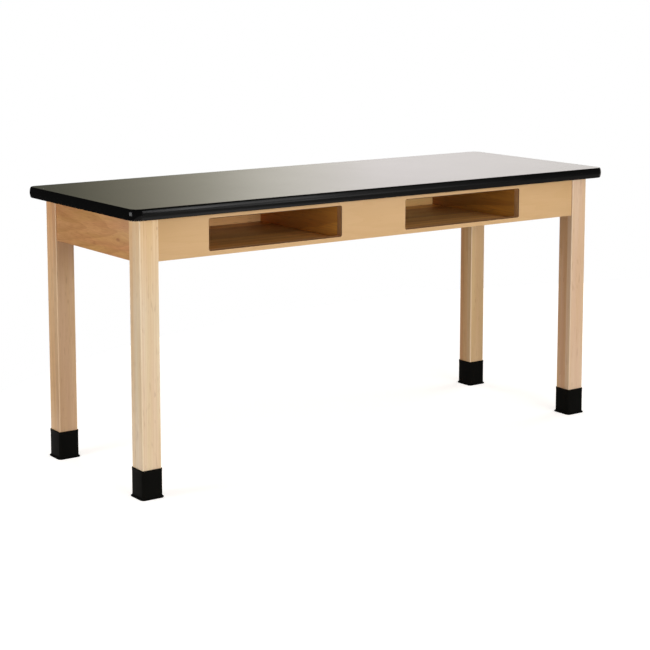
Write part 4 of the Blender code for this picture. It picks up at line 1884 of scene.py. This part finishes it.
@dataclass
class Studio:
    """The camera, the pale floor, the surroundings and the lamps."""

    picture_side: float = 650.0
    focal_length: float = 1716.5
    sensor: float = 36.0
    place: Point3 = (-2.8837, -4.0075, 1.3445)
    turn: float = -0.62146
    dip: float = 0.13580
    shift: float = -0.18
    far: float = 60.0
    floor_radius: float = 3.0
    floor_middle: Point3 = (1.2, -1.4, 0.0)
    floor_sides: int = 96
    floor_colour: str = "#dedcd8"
    floor_roughness: float = 0.9
    floor_glow: float = 0.66
    mirrored_glow: float = 0.4
    glow_start: float = -0.4
    glow_end: float = 1.0
    pool_glow: float = 1.5
    pool_middle: Point3 = (0.15, -1.15, 0.0)
    pool_radius: float = 0.85
    sky_level: float = 0.2
    sky_colour: str = "#fff3e6"
    rear_level: float = 1.59
    front_level: float = 1.7
    front_low_level: float = 4.2
    front_to_rear: Point = (-0.1, 0.2)
    low_to_high: Point = (-0.05, 0.1)
    backdrop_top: float = 0.5
    ceiling_share: float = 0.03
    rear: tuple[Stop, ...] = (
        (0.30, "#202020"),
        (0.44, "#5b5b50"),
        (0.461, "#716e5f"),
        (0.490, "#8d897a"),
        (0.520, "#b1ad9e"),
        (0.549, "#dedace"),
        (0.577, "#f0ebe3"),
        (0.605, "#fef8f6"),
        (0.70, "#f7f2ee"),
    )
    front: tuple[Stop, ...] = (
        (0.300, "#151515"),
        (0.470, "#202020"),
        (0.490, "#b0b0b0"),
        (0.520, "#dfdfdf"),
        (0.545, "#f6f6f6"),
        (0.572, "#ffffff"),
        (0.586, "#b8b8b8"),
        (0.600, "#a2a2a2"),
        (0.613, "#878787"),
        (0.626, "#bbbbbb"),
        (0.640, "#a1a1a1"),
        (0.655, "#636363"),
        (0.670, "#4d4d4d"),
        (0.690, "#303030"),
    )
    lamps: tuple[SoftBox, ...] = (
        # Azimuth, elevation, distance, width, height and brightness
        SoftBox("front key", -2.0, 7.0, 6.0, 2.0, 2.0, 0.515, shows=False),
        SoftBox("upper right front", 30.0, 38.0, 4.5, 1.8, 1.8, 0.07, shows=False),
        SoftBox(
            "wide strip",
            *(33.0, 13.0, 4.5, 1.0, 1.2, 0.062),
            target=(-0.6, -0.3, 0.74),
            flagged=fine(TOP_SHEET),
        ),
        SoftBox(
            "narrow strip",
            *(30.2, 13.0, 4.5, 0.25, 1.2, 0.035),
            target=(-0.7, -0.3, 0.74),
            flagged=fine(TOP_SHEET),
        ),
        SoftBox("left", -94.0, 8.0, 1.4, 0.85, 0.55, 0.71, target=(-0.8, -0.03, 0.55)),
        SoftBox("right fill", 95.0, 7.0, 4.0, 2.0, 2.0, 0.4, shows=False),
        SoftBox("back fill", 180.0, 7.0, 4.0, 2.0, 2.0, 0.4, shows=False),
    )

    def build(self) -> None:
        """Set up everything round the table."""
        bpy.context.scene.view_settings.view_transform = "Standard"
        self.build_camera()
        self.build_floor()
        self.build_surroundings()
        for lamp in self.lamps:
            lamp.build()

    def build_camera(self) -> None:
        """Stand the camera where the photograph was taken from."""
        data = bpy.data.cameras.new("camera")
        data.sensor_width = self.sensor
        data.lens = self.focal_length * self.sensor / self.picture_side
        data.shift_y = self.shift
        data.clip_end = self.far
        camera = bpy.data.objects.new("camera", data)
        bpy.context.scene.collection.objects.link(camera)
        camera.location = self.place
        camera.rotation_euler = (math.pi / 2 - self.dip, 0.0, self.turn)
        bpy.context.scene.camera = camera

    def build_floor(self) -> None:
        """Lay a pale floor, plain white to the camera except for the table's soft shadow."""
        shape = bmesh.new()
        bmesh.ops.create_circle(
            shape, cap_ends=True, segments=self.floor_sides, radius=self.floor_radius
        )
        bmesh.ops.translate(shape, verts=shape.verts, vec=self.floor_middle)
        floor = make_object("floor", shape, None)
        paint = bpy.data.materials.new("matt white floor")
        paint.use_nodes = True
        tree = paint.node_tree
        place = add_node(tree, "TexCoord", {}).outputs["Object"]
        sockets = {
            "Value": add_node(tree, "SeparateXYZ", {"Vector": place}).outputs["X"],
            "From Min": self.glow_start,
            "From Max": self.glow_end,
            "To Min": self.mirrored_glow,
            "To Max": 0.0,
        }
        fading = add_node(tree, "MapRange", sockets).outputs["Result"]
        away = add_node(tree, "VectorMath", {0: place, 1: self.pool_middle}, operation="DISTANCE")
        sockets = {
            "Value": away.outputs["Value"],
            "From Max": self.pool_radius,
            "To Min": self.pool_glow,
            "To Max": 0.0,
        }
        pool = add_node(tree, "MapRange", sockets, interpolation_type="SMOOTHSTEP").outputs["Result"]
        both = add_node(tree, "Math", {0: fading, 1: pool}).outputs[0]
        sockets = {0: seen_mirrored(tree), 1: both}
        glow = add_node(tree, "Math", sockets, operation="MULTIPLY").outputs[0]
        camera = add_node(tree, "LightPath", {}).outputs["Is Camera Ray"]
        sockets = {0: camera, 1: self.floor_glow, 2: glow}
        strength = add_node(tree, "Math", sockets, operation="MULTIPLY_ADD").outputs[0]
        finish = {
            "Base Color": linear(self.floor_colour),
            "Roughness": self.floor_roughness,
            "Specular IOR Level": 0.0,
            "Emission Color": linear("#ffffff"),
            "Emission Strength": strength,
        }
        feed(tree.nodes["Principled BSDF"], finish)
        floor.data.materials.append(paint)

    def build_surroundings(self) -> None:
        """Surround the table with a soft even light and, for shiny surfaces, a graded backdrop."""
        world = bpy.data.worlds.new("studio")
        bpy.context.scene.world = world
        world.use_nodes = True
        tree = world.node_tree
        tree.nodes.clear()
        way = add_node(tree, "TexCoord", {}).outputs["Generated"]
        parts = add_node(tree, "SeparateXYZ", {"Vector": way}).outputs
        low, high = self.front_to_rear
        sockets = {"Value": parts["Y"], "From Min": low, "From Max": high}
        behind = add_node(tree, "MapRange", sockets).outputs["Result"]
        sockets = {
            "Factor": behind,
            MIX_A: ramped(tree, parts["X"], self.front, "LINEAR"),
            MIX_B: ramped(tree, parts["X"], self.rear, "LINEAR"),
        }
        backdrop = add_node(tree, "Mix", sockets, data_type="RGBA").outputs[MIX_OUT]
        sockets = {
            "Value": parts["Z"],
            "From Min": self.backdrop_top / 2,
            "From Max": self.backdrop_top,
            "To Min": 1.0,
            "To Max": self.ceiling_share,
        }
        height = add_node(tree, "MapRange", sockets, interpolation_type="SMOOTHSTEP").outputs["Result"]
        low, high = self.low_to_high
        sockets = {
            "Value": parts["Z"],
            "From Min": low,
            "From Max": high,
            "To Min": self.front_low_level,
            "To Max": self.front_level,
        }
        before = add_node(tree, "MapRange", sockets).outputs["Result"]
        sockets = {"Value": behind, "To Min": before, "To Max": self.rear_level}
        level = add_node(tree, "MapRange", sockets).outputs["Result"]
        strength = add_node(tree, "Math", {0: height, 1: level}, operation="MULTIPLY").outputs[0]
        even, seen, white = (
            add_node(tree, "Background", {"Color": colour, "Strength": power}).outputs[0]
            for colour, power in (
                (linear(self.sky_colour), self.sky_level),
                (backdrop, strength),
                (linear("#ffffff"), 1.0),
            )
        )
        rays = add_node(tree, "LightPath", {}).outputs
        sockets = {"Fac": rays["Is Glossy Ray"], 1: even, 2: seen}
        glossy = add_node(tree, "MixShader", sockets).outputs[0]
        sockets = {"Fac": rays["Is Camera Ray"], 1: glossy, 2: white}
        mixed = add_node(tree, "MixShader", sockets).outputs[0]
        add_node(tree, "OutputWorld", {"Surface": mixed})


def seen_mirrored(tree: Tree) -> Socket:
    """Tell whether a ray comes from a shiny surface or a clear one.

    Args:
        tree: The node tree.

    Returns:
        An output that is 1 for such a ray and 0 for any other.
    """
    rays = add_node(tree, "LightPath", {})
    either = add_node(
        tree,
        "Math",
        {0: rays.outputs["Is Glossy Ray"], 1: rays.outputs["Is Transmission Ray"]},
        operation="MAXIMUM",
    )
    return either.outputs[0]


# How the legs lay in their trees: the first one's pith, each next one's further off, the pith's
# lean, and how far along the tree each next one begins
LEG_PITH, LEG_PITH_STEP = (0.05, 0.035), (0.012, -0.02)
LEG_LEAN, LEG_RUN = (0.01, -0.012), 1.7

# How far along their tree each next compartment's sheets, end apron and cleat begin
SHEET_RUN, APRON_RUN, CLEAT_RUN = 10.0, 2.3, 0.9


def main() -> None:
    """Build the worktop, the studio whose flags shade it, and every other sub-assembly in order."""
    logging.basicConfig(level=logging.INFO, format="%(message)s")
    Worktop().build()
    Studio().build()
    for index, corner in enumerate(Corner):
        pith = tuple(place + index * step for place, step in zip(LEG_PITH, LEG_PITH_STEP))
        Leg(corner, Grain(Along.Z, pith, LEG_LEAN, LEG_RUN * index)).build()
        Boot(corner).build()
    front = Grain(Along.X, pith=(0.02, 0.4), lean=(0.0, 0.02), start=0.3)
    FrontApron("front_apron", True, APRON_VENEER, Slot.MAPLE_VENEER, front).build()
    back = Grain(Along.X, pith=(-0.03, 0.4), lean=(0.0, 0.02), start=5.3)
    LongApron("back_apron", True, APRON_VENEER, Slot.MAPLE_VENEER, back).build()
    for index, side in enumerate(("left", "right")):
        grain = Grain(Along.Y, pith=(0.01, 0.045), lean=(0.02, 0.09), start=APRON_RUN * index)
        Apron(f"{side}_end_apron", False, END_MAPLE, Slot.MAPLE, grain).build()
        Compartment(side, SHEET_RUN * index).build()
    CrossRail().build()
    cleats = sorted(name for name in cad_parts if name.endswith("_cleat"))
    for index, node in enumerate(cleats):
        Cleat(node, CLEAT_RUN * index).build()
    WoodScrew().build()
    CornerHardware().build()


if __name__ == "__main__":
    main()
